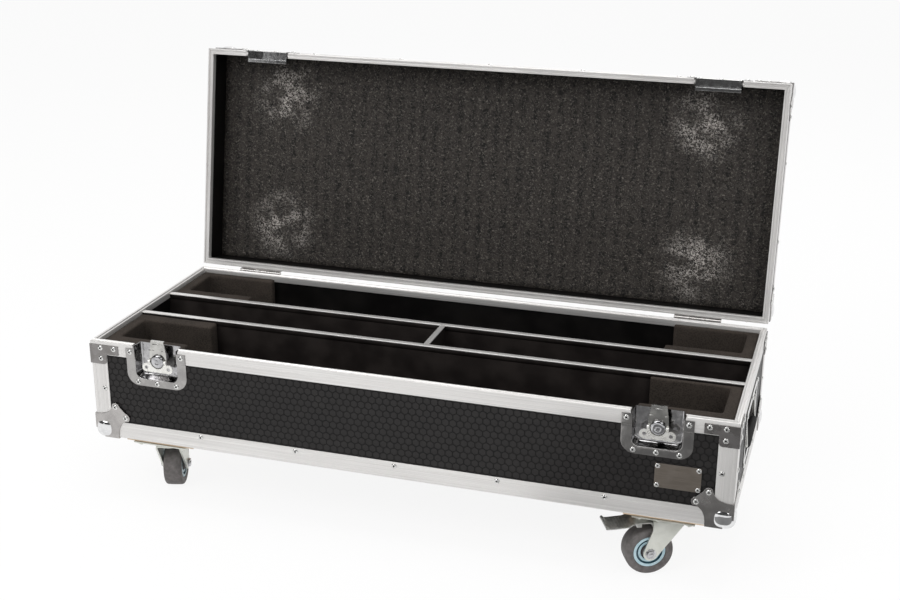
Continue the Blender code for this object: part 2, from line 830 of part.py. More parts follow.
def latch_hook():
    """The hook plate in its raised place, about its own middle."""
    front = FRONT + HOOK_DEPTH
    taper = HUB_Z + HOOK_TAPER_DROP
    outline = [
        (HOOK_BASE_HALF, HUB_Z - HOOK_TAIL),
        (HOOK_BASE_HALF, taper),
        (HOOK_TOP_HALF, HOOK_TOP),
        (-HOOK_TOP_HALF, HOOK_TOP),
        (-HOOK_BASE_HALF, taper),
        (-HOOK_BASE_HALF, HUB_Z - HOOK_TAIL),
    ]
    plate = prism(outline, "Y", front, front + HOOK_SHEET)
    lip = block(
        (-HOOK_TOP_HALF, front, HOOK_TOP - HOOK_SHEET),
        (HOOK_TOP_HALF, front + HOOK_SHEET + HOOK_LIP, HOOK_TOP),
    )
    room = HUB_RADIUS + HOOK_SLOT_PLAY
    outline = rounded_outline((-room, HUB_Z - room), (room, HUB_Z + room + HOOK_DROP), room - FIT)
    slot = prism(outline, "Y", front - OVERRUN, front + HOOK_SHEET + OVERRUN)
    return cut(joined(plate, lip), slot)


def make_latches(zinc, dark_zinc):
    """Two latches in the tray: dish, cam hub, wing and hook plate."""
    for side, sign in SIDES.items():
        middle = sign * LATCH_X
        cam_axis = empty(f"latch_cam_axis_{side}", (middle, FRONT, HUB_Z))
        finish(latch_dish(), f"latch_dish_{side}", dark_zinc, None, (middle, 0, 0))
        finish(latch_cam(), f"latch_cam_{side}", zinc, cam_axis)
        finish(latch_wing(), f"latch_wing_{side}", zinc, cam_axis, (0, WING_PIN_DEPTH, 0))
        finish(latch_hook(), f"latch_hook_{side}", zinc, None, (middle, 0, 0))


def keeper():
    """The lid half of a latch, shut, about its own middle."""
    top, pan_top = SEAM + KEEPER_HEIGHT, SEAM + KEEPER_PAN_HEIGHT
    step_high = KEEPER_RISER + FITTING
    face, panel_face = FRONT - FITTING_OUT, FRONT + PANEL_INSET - FITTING_OUT
    flange_back = FRONT + PANEL_INSET - FIT
    pan_back = FRONT + PAN_DEPTH + PAN_WALL
    half = PAN_HALF + PAN_WALL
    flange = [(x, top - z) for x, z in tub_outline(DISH_HALF, 0, top - KEEPER_RISER, KEEPER_ROUND)]
    dish = joined(
        prism(flange, "Y", panel_face, flange_back),
        block((-DISH_HALF, face, KEEPER_RISER), (DISH_HALF, flange_back, step_high)),
        block((-DISH_HALF, face, SEAM + BRACE_DROP), (DISH_HALF, FRONT - FIT, step_high)),
        block((-half, panel_face, KEEPER_RISER), (half, pan_back, pan_top + PAN_WALL)),
        block((-half, face, SEAM), (half, pan_back, step_high)),
    )
    room = block((-PAN_HALF, face - OVERRUN, SEAM + LEDGE), (PAN_HALF, FRONT + PAN_DEPTH, pan_top))
    mouth = block(
        (-PAN_HALF, face - OVERRUN, SEAM - OVERRUN), (PAN_HALF, FRONT + LEDGE_FRONT, SEAM + LEDGE + FIT)
    )
    return cut(dish, room, mouth)


def make_keepers(dark_zinc, lid, home):
    """Two keepers in the lid's front."""
    for side, sign in SIDES.items():
        place = (home[0] + sign * LATCH_X, home[1], home[2])
        finish(keeper(), f"lid_keeper_{side}", dark_zinc, lid, place)


# Side handles


def handle_dish():
    """The right-hand handle dish."""
    half_y, half_z = HANDLE_HALF_LENGTH, HANDLE_HALF_HEIGHT
    pan_y, pan_z = HANDLE_PAN_HALF_LENGTH, HANDLE_PAN_HALF_HEIGHT
    face, back = HALF_LENGTH - PANEL_INSET + FITTING_OUT, HALF_LENGTH - PANEL_INSET + FIT
    floor = HALF_LENGTH - HANDLE_PAN_DEPTH
    flange = rounded_outline((-half_y, HANDLE_Z - half_z), (half_y, HANDLE_Z + half_z), HANDLE_ROUND)
    walls = block(
        (floor - PAN_WALL, -pan_y - PAN_WALL, HANDLE_Z - pan_z - PAN_WALL),
        (face, pan_y + PAN_WALL, HANDLE_Z + pan_z + PAN_WALL),
    )
    room = block((floor, -pan_y, HANDLE_Z - pan_z), (face + OVERRUN, pan_y, HANDLE_Z + pan_z))
    dish = cut(joined(prism(flange, "X", back, face), walls), room)
    pivot_x, pivot_z = HALF_LENGTH - BAIL_PIVOT_DEPTH, HANDLE_Z + BAIL_PIVOT_RISE
    lugs, bores = [], []
    for sign in SIDES.values():
        near, far = sign * (pan_y - LUG_THICKNESS), sign * (pan_y + PAN_WALL / 2)
        lugs.append(
            block(
                (floor - PAN_WALL / 2, min(near, far), pivot_z - LUG_HALF_HEIGHT),
                (HALF_LENGTH, max(near, far), pivot_z + LUG_HALF_HEIGHT),
            )
        )
        start, end = near - sign * OVERRUN, near + sign * LUG_BORE_DEPTH
        bores.append(rod((pivot_x, start, pivot_z), (pivot_x, end, pivot_z), BAIL_BORE, SMALL_SIDES))
    return cut(joined(dish, *lugs), *bores)


def handle_bail():
    """The right-hand bail and its rubber grip, about the pivot."""
    hang = Vector((BAIL_PIVOT_DEPTH - FIT, 0, -BAIL_DROP))
    stub = HANDLE_PAN_HALF_LENGTH - LUG_THICKNESS + LUG_BORE_DEPTH - FIT
    half = [(stub, 0), *arc((BAIL_HALF + BAIL_BEND, BAIL_BEND), BAIL_BEND, 270, 180, BEND_STEPS)]
    low = hang.length - BAIL_BEND
    half += arc((BAIL_HALF - BAIL_BEND, low), BAIL_BEND, 0, 90, BEND_STEPS)
    path = half + [(-y, drop) for y, drop in reversed(half)]
    points = [Vector((0, y, 0)) + hang.normalized() * drop for y, drop in path]
    bail = tube(points, Vector((hang.z, 0, -hang.x)).normalized(), BAIL_RADIUS, SMALL_SIDES)
    grip = rod((hang.x, -GRIP_HALF, hang.z), (hang.x, GRIP_HALF, hang.z), GRIP_RADIUS)
    return joined(grip, bail)


def make_handles(zinc, rubber):
    """A sprung handle in each side of the tray."""
    dish, bail = handle_dish(), handle_bail()
    for side, sign in SIDES.items():
        mirror = Matrix.Diagonal((sign, 1, 1, 1))
        pivot = (sign * (HALF_LENGTH - BAIL_PIVOT_DEPTH), 0, HANDLE_Z + BAIL_PIVOT_RISE)
        finish(mirrored_copy(dish, mirror), f"handle_dish_{side}", zinc)
        finish(mirrored_copy(bail, mirror), f"handle_grip_{side}", rubber, None, pivot)
    bpy.data.objects.remove(dish)
    bpy.data.objects.remove(bail)


# Inside


def make_dividers(wood):
    """Two long dividers and a cross one, each with its aluminium cap."""
    top = RIM_TOP - DIVIDER_DROP
    board_top = RIM_TOP - RIM_LIP - FIT
    board_end, cap_end = HALF_LENGTH - INNER_INSET - FIT, HALF_LENGTH - RIM_WIDTH - FIT
    for name, y in (("front", DIVIDER_FRONT_Y), ("back", DIVIDER_BACK_Y)):
        board = block((-board_end, y - PLY / 2, PLY + FIT), (board_end, y + PLY / 2, board_top))
        cap = block((-cap_end, y - CAP_WIDTH / 2, top - CAP_HEIGHT), (cap_end, y + CAP_WIDTH / 2, top))
        finish(joined(board, cap), f"divider_{name}", wood)
    near, far = DIVIDER_FRONT_Y + PLY / 2 + FIT, DIVIDER_BACK_Y - PLY / 2 - FIT
    board = block((-PLY / 2, near, PLY + FIT), (PLY / 2, far, top - CAP_HEIGHT - FIT))
    near, far = DIVIDER_FRONT_Y + CAP_WIDTH / 2 + FIT, DIVIDER_BACK_Y - CAP_WIDTH / 2 - FIT
    tab = block((-PLY / 2, near, top - CAP_HEIGHT - PLY), (PLY / 2, far, top - FIT))
    cap = block((-CAP_WIDTH / 2, near, top - CAP_HEIGHT), (CAP_WIDTH / 2, far, top))
    finish(joined(board, tab, cap), "divider_cross", wood)


def foam_cup(low_y, high_y, cheeks):
    """A cup for the left end of a compartment, open towards the middle of the case."""
    top = RIM_TOP - FOAM_DROP
    start = -HALF_LENGTH + RIM_WIDTH + FIT
    end = start + FOAM_LENGTH
    cup = block((start, low_y, PLY + FIT), (end, high_y, top))
    pocket_low = (start + FOAM_END, low_y + cheeks[0], PLY + FOAM_BASE)
    pocket_high = (end + OVERRUN, high_y - cheeks[1], top + OVERRUN)
    return cut(cup, block(pocket_low, pocket_high))


def make_foam_cups(foam):
    """Cups at both ends of the front and back compartments, notched round the latch pans."""
    walls = {
        "front": (FRONT + RIM_WIDTH + FIT, DIVIDER_FRONT_Y - CAP_WIDTH / 2 - FIT),
        "back": (DIVIDER_BACK_Y + CAP_WIDTH / 2 + FIT, HALF_WIDTH - RIM_WIDTH - FIT),
    }
    cheeks = {
        "front_left": FOAM_CHEEK_FRONT_LEFT,
        "front_right": FOAM_CHEEK_FRONT_RIGHT,
        "back_left": FOAM_CHEEK_BACK_LEFT,
        "back_right": FOAM_CHEEK_BACK_RIGHT,
    }
    for place, cheek in cheeks.items():
        row, side = place.split("_")
        sign = SIDES[side]
        made = foam_cup(*walls[row], cheek)
        cup = mirrored_copy(made, Matrix.Diagonal((-sign, 1, 1, 1)))
        bpy.data.objects.remove(made)
        if row == "front":
            half = PAN_HALF + PAN_WALL + 2 * FIT
            middle = sign * LATCH_X
            notch = block(
                (middle - half, FRONT, PAN_BOTTOM - PAN_WALL - 2 * FIT),
                (middle + half, FRONT + PAN_DEPTH + PAN_WALL + 2 * FIT, RIM_TOP + OVERRUN),
            )
            cup = cut(cup, notch)
        finish(cup, f"foam_cup_{place}", foam)


def make_lid_foam(foam, lid, home):
    """The foam sheet under the lid's top panel."""
    inset = INNER_INSET + LID_FOAM_MARGIN
    high = LID_TOP - PANEL_INSET - PLY - FIT
    half_x, half_y = HALF_LENGTH - inset, HALF_WIDTH - inset
    pad = block((-half_x, -half_y, high - LID_FOAM), (half_x, half_y, high))
    finish(pad, "lid_foam", foam, lid, home)


# Casters


def make_boards(wood):
    """A plywood board under each end, which carries two casters, routed for the ball corners' flanges."""
    room = LOBE_FAR + LOBE_RADIUS + FIT
    for side, sign in SIDES.items():
        outer = sign * (HALF_LENGTH - BOARD_END_INSET)
        inner = outer - sign * BOARD_WIDTH
        half = HALF_WIDTH - BOARD_FRONT_INSET
        board = block((min(outer, inner), -half, BOARD_TOP - BOARD), (max(outer, inner), half, BOARD_TOP))
        pockets = []
        for sign_y in SIDES.values():
            pocket = block((-OVERRUN, -OVERRUN, -FITTING_OUT - FIT), (room, room, OVERRUN))
            pockets.append(mirrored_copy(pocket, corner_matrix(sign, sign_y, BASE, 1)))
            bpy.data.objects.remove(pocket)
        finish(cut(board, *pockets), f"caster_board_{side}", wood)


def caster_plate():
    """The fixed top plate and raceway, about the swivel axis."""
    plate = block(
        (-PLATE_HALF_X, -PLATE_HALF_Y, PLATE_TOP - PLATE), (PLATE_HALF_X, PLATE_HALF_Y, PLATE_TOP)
    )
    head = rod((0, 0, PLATE_TOP - PLATE / 2), (0, 0, PLATE_TOP - PLATE - HEAD_HEIGHT), HEAD_RADIUS)
    return joined(plate, head)


def fork_sheet():
    """The fork's bent sheet: a channel cut to the shape of its cheeks, about the swivel axis."""
    top, low = FORK_TOP - RACE / 2, WHEEL_Z - AXLE_EYE - OVERRUN
    under = top - FORK_SHEET
    bend_y, bend_z = FORK_OUTER - FORK_SHEET, top - FORK_SHEET
    channel = [
        (FORK_OUTER, low),
        *arc((bend_y, bend_z), FORK_SHEET, 0, 90, BEND_STEPS),
        *arc((-bend_y, bend_z), FORK_SHEET, 90, 180, BEND_STEPS),
        (-FORK_OUTER, low),
        (-FORK_GAP_HALF, low),
        (-FORK_GAP_HALF, under),
        (FORK_GAP_HALF, under),
        (FORK_GAP_HALF, low),
    ]
    above = FORK_TOP + OVERRUN
    cheek = [
        (-FORK_FRONT, above),
        (-FORK_FRONT, under - FORK_SHEET),
        *arc((TRAIL, WHEEL_Z), AXLE_EYE, 210, 370, 2 * ARC_STEPS),
        (FORK_REAR, FORK_TOP - FORK_SHOULDER),
        (FORK_REAR, above),
    ]
    sheet = prism(channel, "X", -FORK_FRONT - OVERRUN, TRAIL + AXLE_EYE + OVERRUN)
    side = prism(cheek, "Y", -FORK_OUTER - OVERRUN, FORK_OUTER + OVERRUN)
    return combine(sheet, [side], "INTERSECT")


def caster_fork(braked):
    """The fork about its swivel axis, with its axle trailing along +X."""
    race_low = FORK_TOP - RACE / 2 - FORK_SHEET / 2
    middle = FORK_GAP_HALF + FORK_SHEET / 2
    end = FORK_OUTER + NUT_THICKNESS / 2
    parts = [
        rod((0, 0, FORK_TOP), (0, 0, race_low), FORK_RADIUS, WHEEL_SIDES),
        rod((TRAIL, -end, WHEEL_Z), (TRAIL, end, WHEEL_Z), AXLE_RADIUS),
    ]
    for sign in SIDES.values():
        nut_end = sign * (FORK_OUTER + NUT_THICKNESS)
        parts.append(rod((TRAIL, sign * middle, WHEEL_Z), (TRAIL, nut_end, WHEEL_Z), NUT_RADIUS, NUT_SIDES))
    if braked:
        pin_z = FORK_TOP - BRAKE_PIN_DROP
        ends = ((BRAKE_PIN_X, -middle, pin_z), (BRAKE_PIN_X, middle, pin_z))
        parts.append(rod(*ends, BRAKE_PIN_RADIUS, SMALL_SIDES))
    return joined(fork_sheet(), *parts)


def caster_wheel():
    """The wheel about its axle, which runs along Y."""
    half = [
        (AXLE_BORE, HUB_HALF),
        (HUB_BOSS_RADIUS, HUB_HALF),
        (HUB_BOSS_RADIUS, WEB_HALF),
        (RIM_RING_RADIUS - RIM_RING_DEPTH, WEB_HALF),
        (RIM_RING_RADIUS, TYRE_HALF - TYRE_RECESS),
        (WHEEL_RADIUS - TYRE_SHOULDER, TYRE_HALF),
        (WHEEL_RADIUS, TYRE_HALF - TYRE_SHOULDER),
    ]
    profile = half + [(radius, -across) for radius, across in reversed(half)]
    wheel = turned(profile, WHEEL_SIDES)
    wheel.data.transform(Matrix.Rotation(math.radians(-90), 4, "X"))
    return wheel


def brake_pedal():
    """The brake pedal about its pin: it reaches back over the wheel along +X."""
    top = PEDAL_EYE
    low = top - PEDAL_SHEET
    bend_x, tread_x, lip_x = (x - BRAKE_PIN_X for x in (PEDAL_BEND_X, PEDAL_TREAD_X, PEDAL_LIP_X))
    arm = block((0, -PEDAL_HALF, low), (bend_x + PEDAL_SHEET, PEDAL_HALF, top))
    tread_outline = [
        (bend_x, low),
        (tread_x, low + PEDAL_TREAD_RISE),
        (lip_x, low + PEDAL_LIP_RISE),
        (lip_x - PEDAL_SHEET, top + PEDAL_LIP_RISE),
        (tread_x - PEDAL_SHEET, top + PEDAL_TREAD_RISE),
        (bend_x, top),
    ]
    tread = prism(tread_outline, "Y", -PEDAL_TREAD_HALF, PEDAL_TREAD_HALF)
    shoe_x = SHOE_X - BRAKE_PIN_X
    shoe_top = top - PEDAL_SHEET / 2
    shoe = block((shoe_x, -SHOE_HALF, top - SHOE_DROP), (shoe_x + SHOE_LENGTH, SHOE_HALF, shoe_top))
    eye = rod((0, -PEDAL_HALF, 0), (0, PEDAL_HALF, 0), PEDAL_EYE)
    bore = rod((0, -PEDAL_HALF - OVERRUN, 0), (0, PEDAL_HALF + OVERRUN, 0), PEDAL_BORE)
    return cut(joined(arm, tread, shoe, eye), bore)


def make_casters(zinc, chrome, tyre):
    """Four swivel casters, the front two with brakes."""
    turns = {
        "front_left": SWIVEL_FRONT_LEFT,
        "front_right": SWIVEL_FRONT_RIGHT,
        "back_left": SWIVEL_BACK_LEFT,
        "back_right": SWIVEL_BACK_RIGHT,
    }
    for place, turn in turns.items():
        sign_x, sign_y = CORNERS[place]
        spot = (sign_x * CASTER_X, sign_y * CASTER_Y, 0)
        braked = place.startswith("front")
        swivel = empty(f"caster_swivel_{place}", spot, (0, 0, turn))
        finish(caster_plate(), f"caster_plate_{place}", zinc, None, spot)
        finish(caster_fork(braked), f"caster_fork_{place}", zinc, swivel)
        finish(caster_wheel(), f"caster_wheel_{place}", tyre, swivel, (TRAIL, 0, WHEEL_Z))
        if braked:
            pin = (BRAKE_PIN_X, 0, FORK_TOP - BRAKE_PIN_DROP)
            finish(brake_pedal(), f"brake_pedal_{place}", chrome, swivel, pin)


# Hinges


def hinge_leaf(up, knuckles, bore):
    """A flat leaf on the back face with its knuckles, above (up = 1) or below the seam."""
    near, far = HALF_WIDTH + FIT, HALF_WIDTH + FIT + HINGE_LEAF
    edge, end = HINGE_Z + up * HINGE_LEAF_CLEAR, HINGE_Z + up * HINGE_LEAF_HEIGHT
    leaf = block((-HINGE_HALF, near, min(edge, end)), (HINGE_HALF, far, max(edge, end)))
    parts, bores = [], []
    for low, high in knuckles:
        parts.append(rod((low, HINGE_Y, HINGE_Z), (high, HINGE_Y, HINGE_Z), HINGE_KNUCKLE, SMALL_SIDES))
        outer = HINGE_Z + up * HINGE_KNUCKLE
        inner = HINGE_Z + up * HINGE_LEAF_CLEAR / 2
        parts.append(block((low, near, min(outer, inner)), (high, HINGE_Y, max(outer, inner))))
        if bore:
            ends = (low - OVERRUN, high + OVERRUN)
            bores.append(rod((ends[0], HINGE_Y, HINGE_Z), (ends[1], HINGE_Y, HINGE_Z), bore, SMALL_SIDES))
    leaf = joined(leaf, *parts)
    return cut(leaf, *bores) if bores else leaf


def make_hinges(zinc, lid, home):
    """Two hinges: the tray's leaf holds the pin, and the lid's turns on it."""
    outer = ((-HINGE_HALF, -HINGE_MIDDLE_HALF), (HINGE_MIDDLE_HALF, HINGE_HALF))
    inner = ((-HINGE_MIDDLE_HALF + FIT, HINGE_MIDDLE_HALF - FIT),)
    for side, sign in SIDES.items():
        pin_half = HINGE_HALF - HINGE_PIN
        pin = rod((-pin_half, HINGE_Y, HINGE_Z), (pin_half, HINGE_Y, HINGE_Z), HINGE_PIN, SMALL_SIDES)
        tray_leaf = joined(hinge_leaf(-1, outer, None), pin)
        finish(tray_leaf, f"hinge_tray_leaf_{side}", zinc, None, (sign * HINGE_X, 0, 0))
        place = (home[0] + sign * HINGE_X, home[1], home[2])
        finish(hinge_leaf(1, inner, HINGE_BORE), f"hinge_lid_leaf_{side}", zinc, lid, place)


def main():
    """Build the case from the tray outwards."""
    clear_scene()
    aluminium = material("aluminium", (0.55, 0.55, 0.54), 0.32, 1.0)
    laminate = material("black_laminate", (0.012, 0.012, 0.013), 0.45)
    birch = material("birch_edge", (0.55, 0.36, 0.20), 0.7)
    zinc = material("zinc_steel", (0.60, 0.60, 0.58), 0.25, 1.0)
    dark_zinc = material("pressed_zinc", (0.42, 0.42, 0.42), 0.22, 1.0)
    chrome = material("chrome", (0.70, 0.70, 0.70), 0.10, 1.0)
    rubber = material("black_rubber", (0.015, 0.015, 0.015), 0.6)
    tyre = material("grey_tyre", (0.14, 0.135, 0.135), 0.55)
    foam = material("dark_foam", (0.03, 0.028, 0.026), 0.95)

    lid = empty("lid_hinge", (0, HINGE_Y, HINGE_Z), (-LID_OPEN_ANGLE, 0, 0))
    home = (0, -HINGE_Y, -HINGE_Z)
    make_tray_shell(laminate)
    make_tray_frame(aluminium)
    make_braces(zinc)
    make_latches(zinc, dark_zinc)
    make_handles(zinc, rubber)
    make_dividers(laminate)
    make_foam_cups(foam)
    make_boards(birch)
    make_casters(zinc, chrome, tyre)
    make_lid_shell(laminate, lid, home)
    make_lid_frame(aluminium, lid, home)
    make_lid_foam(foam, lid, home)
    make_keepers(dark_zinc, lid, home)
    make_ball_corners(zinc, lid, home)
    make_hinges(zinc, lid, home)


main()
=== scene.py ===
"""The looks of a lighting flight case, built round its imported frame.

Lengths are metres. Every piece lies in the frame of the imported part: +X runs to the right along the
front, the front faces -Y and +Z is up. Pieces of the lid are drawn shut and then turned open.
"""

from __future__ import annotations

import logging
import math
from contextlib import contextmanager
from dataclasses import dataclass, field
from enum import Enum
from typing import Callable, Iterable, Iterator, NamedTuple, Sequence

import bmesh
import bpy
from mathutils import Matrix, Vector, noise


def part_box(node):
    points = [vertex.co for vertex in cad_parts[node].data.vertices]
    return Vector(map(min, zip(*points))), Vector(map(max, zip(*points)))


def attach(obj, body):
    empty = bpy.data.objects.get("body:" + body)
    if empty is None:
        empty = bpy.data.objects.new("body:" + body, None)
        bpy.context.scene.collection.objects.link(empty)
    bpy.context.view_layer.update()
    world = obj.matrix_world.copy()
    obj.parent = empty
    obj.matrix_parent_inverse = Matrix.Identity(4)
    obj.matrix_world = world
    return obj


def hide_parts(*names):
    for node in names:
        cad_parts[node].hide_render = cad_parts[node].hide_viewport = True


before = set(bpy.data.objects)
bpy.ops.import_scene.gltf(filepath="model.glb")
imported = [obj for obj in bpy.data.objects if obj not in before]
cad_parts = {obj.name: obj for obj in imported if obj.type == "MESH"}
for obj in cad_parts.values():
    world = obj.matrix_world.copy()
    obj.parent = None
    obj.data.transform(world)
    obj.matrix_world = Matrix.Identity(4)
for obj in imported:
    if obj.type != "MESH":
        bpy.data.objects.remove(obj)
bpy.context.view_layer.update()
LOG = logging.getLogger("flight_case")

MM = 0.001
WELD = 1e-6
FLAT = math.radians(0.6)
SHARP = math.radians(40)
IDENTITY = Matrix.Identity(4)
Point2 = tuple[float, float]
Point3 = tuple[float, float, float]
Tree = bpy.types.NodeTree
Socket = bpy.types.NodeSocket
Item = bpy.types.Object
Look = bpy.types.Material
Shape = Callable[[Tree, bpy.types.Node], Socket]
Spots = list[tuple[Sequence[float], ...]]
Windows = Sequence[tuple[Point2, Point2]]


# Sizes that several pieces share


@dataclass(frozen=True)
class CaseSizes:
    """The case's main sizes and the places that follow from them."""

    half_length: float = 0.550
    half_width: float = 0.210
    base: float = -0.00172
    tray_height: float = 0.1775
    lid_depth: float = 0.076
    open_angle: float = math.radians(99.6)
    ply: float = 0.007
    sheet: float = 0.0015
    fit: float = 0.0003
    fitting: float = 0.0012
    edge_leg: float = 0.030
    rim_face: float = 0.024
    rim_lip: float = 0.012
    lid_web: float = 0.004
    brace_drop: float = 0.0055
    latch_x: float = 0.4265
    pan_half: float = 0.039
    pan_wall: float = 0.001
    hinge_offset: float = 0.0053

    @property
    def front(self) -> float:
        """The Y of the front face."""
        return -self.half_width

    @property
    def rim_top(self) -> float:
        """The height of the tray's rim."""
        return self.base + self.tray_height

    @property
    def seam(self) -> float:
        """The height of the shut lid's rim."""
        return self.rim_top + self.fit

    @property
    def lid_top(self) -> float:
        """The height of the shut lid's top."""
        return self.seam + self.lid_depth

    @property
    def panel_inset(self) -> float:
        """How far the panels lie behind the extrusions' faces."""
        return self.sheet + self.fit

    @property
    def inner_inset(self) -> float:
        """How far the panels' inner faces lie behind the extrusions' faces."""
        return self.panel_inset + self.ply

    @property
    def rim_width(self) -> float:
        """The width of the rim channels."""
        return self.inner_inset + self.fit + self.sheet

    @property
    def fitting_out(self) -> float:
        """How far the outside of a steel fitting stands out of the face that carries it."""
        return self.fit + self.fitting

    @property
    def latch_cut(self) -> float:
        """Half of the stretch of rim that a latch takes."""
        return self.pan_half + self.pan_wall + self.fit

    @property
    def lid_place(self) -> Matrix:
        """Takes the shut lid to where it stands open."""
        axis = Vector((0, self.half_width + self.hinge_offset, (self.rim_top + self.seam) / 2))
        turn = Matrix.Rotation(-self.open_angle, 4, "X")
        return Matrix.Translation(axis) @ turn @ Matrix.Translation(-axis)

    def corner(self, sign_x: int, sign_y: int, height: float, sign_z: int) -> Matrix:
        """Takes inward distances from one of the case's corners to the case's frame."""
        place = Matrix.Translation((sign_x * self.half_length, sign_y * self.half_width, height))
        return place @ Matrix.Diagonal((-sign_x, -sign_y, sign_z, 1))


CASE = CaseSizes()
CORNERS: dict[str, tuple[int, int]] = {
    "front_left": (-1, -1),
    "front_right": (1, -1),
    "back_left": (-1, 1),
    "back_right": (1, 1),
}
SIDES: dict[str, int] = {"left": -1, "right": 1}


# Nodes and colours


def linear(code: str) -> tuple[float, ...]:
    """Turn an sRGB hex colour, written #rrggbb, to linear values and an alpha of 1."""
    values = [int(code[place : place + 2], 16) / 255 for place in (1, 3, 5)]
    return (*(v / 12.92 if v <= 0.04045 else ((v + 0.055) / 1.055) ** 2.4 for v in values), 1.0)


def feed(tree: Tree, node: bpy.types.Node, feeds: dict) -> None:
    """Give a node's inputs, by name or index, another node's socket or a value each."""
    for key, value in feeds.items():
        if isinstance(value, Socket):
            tree.links.new(value, node.inputs[key])
        else:
            node.inputs[key].default_value = value


def add_node(tree: Tree, kind: str, feeds: dict | None = None, **settings) -> bpy.types.Node:
    """Add a node to a shader or geometry tree.

    Args:
        tree: The tree that takes the node.
        kind: The node's type.
        feeds: What goes into its inputs, by name or index.
        settings: The node's own properties.

    Returns:
        The node.
    """
    made = tree.nodes.new(kind)
    for name, value in settings.items():
        setattr(made, name, value)
    feed(tree, made, feeds or {})
    return made


# Patterns


class Pattern:
    """A number that varies over a surface. Equal patterns of a material share their nodes."""

    def build(self, weave: Weave) -> Socket:
        """Add the pattern's nodes to a material, and return the socket that carries its number."""
        raise NotImplementedError


@dataclass
class Weave:
    """A material's tree while it is dressed: the coordinates that its patterns read, and those built."""

    tree: Tree
    where: Socket
    built: dict[Pattern, Socket] = field(default_factory=dict)

    def socket(self, pattern: Pattern) -> Socket:
        """A pattern's socket. The pattern is built when it is first asked for."""
        if pattern not in self.built:
            self.built[pattern] = pattern.build(self)
        return self.built[pattern]


@dataclass(frozen=True)
class Grain(Pattern):
    """Noise, or cells, with its own size in millimetres along each axis."""

    size: tuple[float, float, float]
    detail: float = 2.0
    warp: float = 0.0
    cells: bool = False

    def build(self, weave: Weave) -> Socket:
        """Read the texture where one unit is the grain's size."""
        scale = tuple(1 / (size * MM) for size in self.size)
        mapped = add_node(weave.tree, "ShaderNodeMapping", {"Vector": weave.where, "Scale": scale})
        feeds = {"Vector": mapped.outputs["Vector"], "Scale": 1.0}
        if self.cells:
            return add_node(weave.tree, "ShaderNodeTexVoronoi", feeds).outputs["Distance"]
        feeds.update({"Detail": self.detail, "Distortion": self.warp})
        return add_node(weave.tree, "ShaderNodeTexNoise", feeds).outputs["Fac"]


@dataclass(frozen=True)
class Stripes(Pattern):
    """Waves along an axis, from -1 to 1, with their length in millimetres."""

    axis: str
    length: float

    def build(self, weave: Weave) -> Socket:
        """Take the sine of the place along the axis."""
        along = add_node(weave.tree, "ShaderNodeSeparateXYZ", {0: weave.where}).outputs[self.axis]
        feeds = {0: along, 1: 2 * math.pi / (self.length * MM)}
        turn = add_node(weave.tree, "ShaderNodeMath", feeds, operation="MULTIPLY").outputs[0]
        return add_node(weave.tree, "ShaderNodeMath", {0: turn}, operation="SINE").outputs[0]


@dataclass(frozen=True)
class CellReach(Pattern):
    """The distance from the middle of a hexagon, in metres, by the place that its mesh carries."""

    def build(self, weave: Weave) -> Socket:
        """Take the length of the stored place."""
        cell = add_node(weave.tree, "ShaderNodeAttribute", attribute_name="cell").outputs["Vector"]
        return add_node(weave.tree, "ShaderNodeVectorMath", {0: cell}, operation="LENGTH").outputs["Value"]


@dataclass(frozen=True)
class SpotReach(Pattern):
    """The distance in metres to the nearest of four spots, at X and Y millimetres from the middle."""

    x: float
    y: float

    def build(self, weave: Weave) -> Socket:
        """Fold the sheet onto one quarter, flatten it and measure to the spot."""
        value = weave.where
        for operation, feeds in (("ABSOLUTE", {}), ("MULTIPLY", {1: (1, 1, 0)})):
            node = add_node(weave.tree, "ShaderNodeVectorMath", {0: value, **feeds}, operation=operation)
            value = node.outputs["Vector"]
        feeds = {0: value, 1: (self.x * MM, self.y * MM, 0)}
        return add_node(weave.tree, "ShaderNodeVectorMath", feeds, operation="DISTANCE").outputs["Value"]


@dataclass(frozen=True)
class Graded(Pattern):
    """A pattern taken smoothly from one range to another."""

    source: Pattern
    span: Point2
    result: Point2 = (0.0, 1.0)

    def build(self, weave: Weave) -> Socket:
        """Map the range with soft ends."""
        ends = dict(zip(("From Min", "From Max", "To Min", "To Max"), (*self.span, *self.result)))
        feeds = {"Value": weave.socket(self.source), **ends}
        node = add_node(weave.tree, "ShaderNodeMapRange", feeds, interpolation_type="SMOOTHSTEP")
        return node.outputs["Result"]


@dataclass(frozen=True)
class Joined(Pattern):
    """Two patterns, added or multiplied."""

    operation: str
    first: Pattern
    second: Pattern

    def build(self, weave: Weave) -> Socket:
        """Work out the sum or the product."""
        feeds = {0: weave.socket(self.first), 1: weave.socket(self.second)}
        return add_node(weave.tree, "ShaderNodeMath", feeds, operation=self.operation).outputs[0]


# Finishes


class Space(Enum):
    """Where a finish reads its patterns: the object's own coordinates, or those stored on a piece."""

    OBJECT = "object"
    PLACE = "place"


class Tone(NamedTuple):
    """A colour laid over those before it, by a pattern's share."""

    colour: str
    share: Pattern


class Relief(NamedTuple):
    """A bump by a pattern's height, with its distance in millimetres."""

    height: Pattern
    strength: float
    distance: float


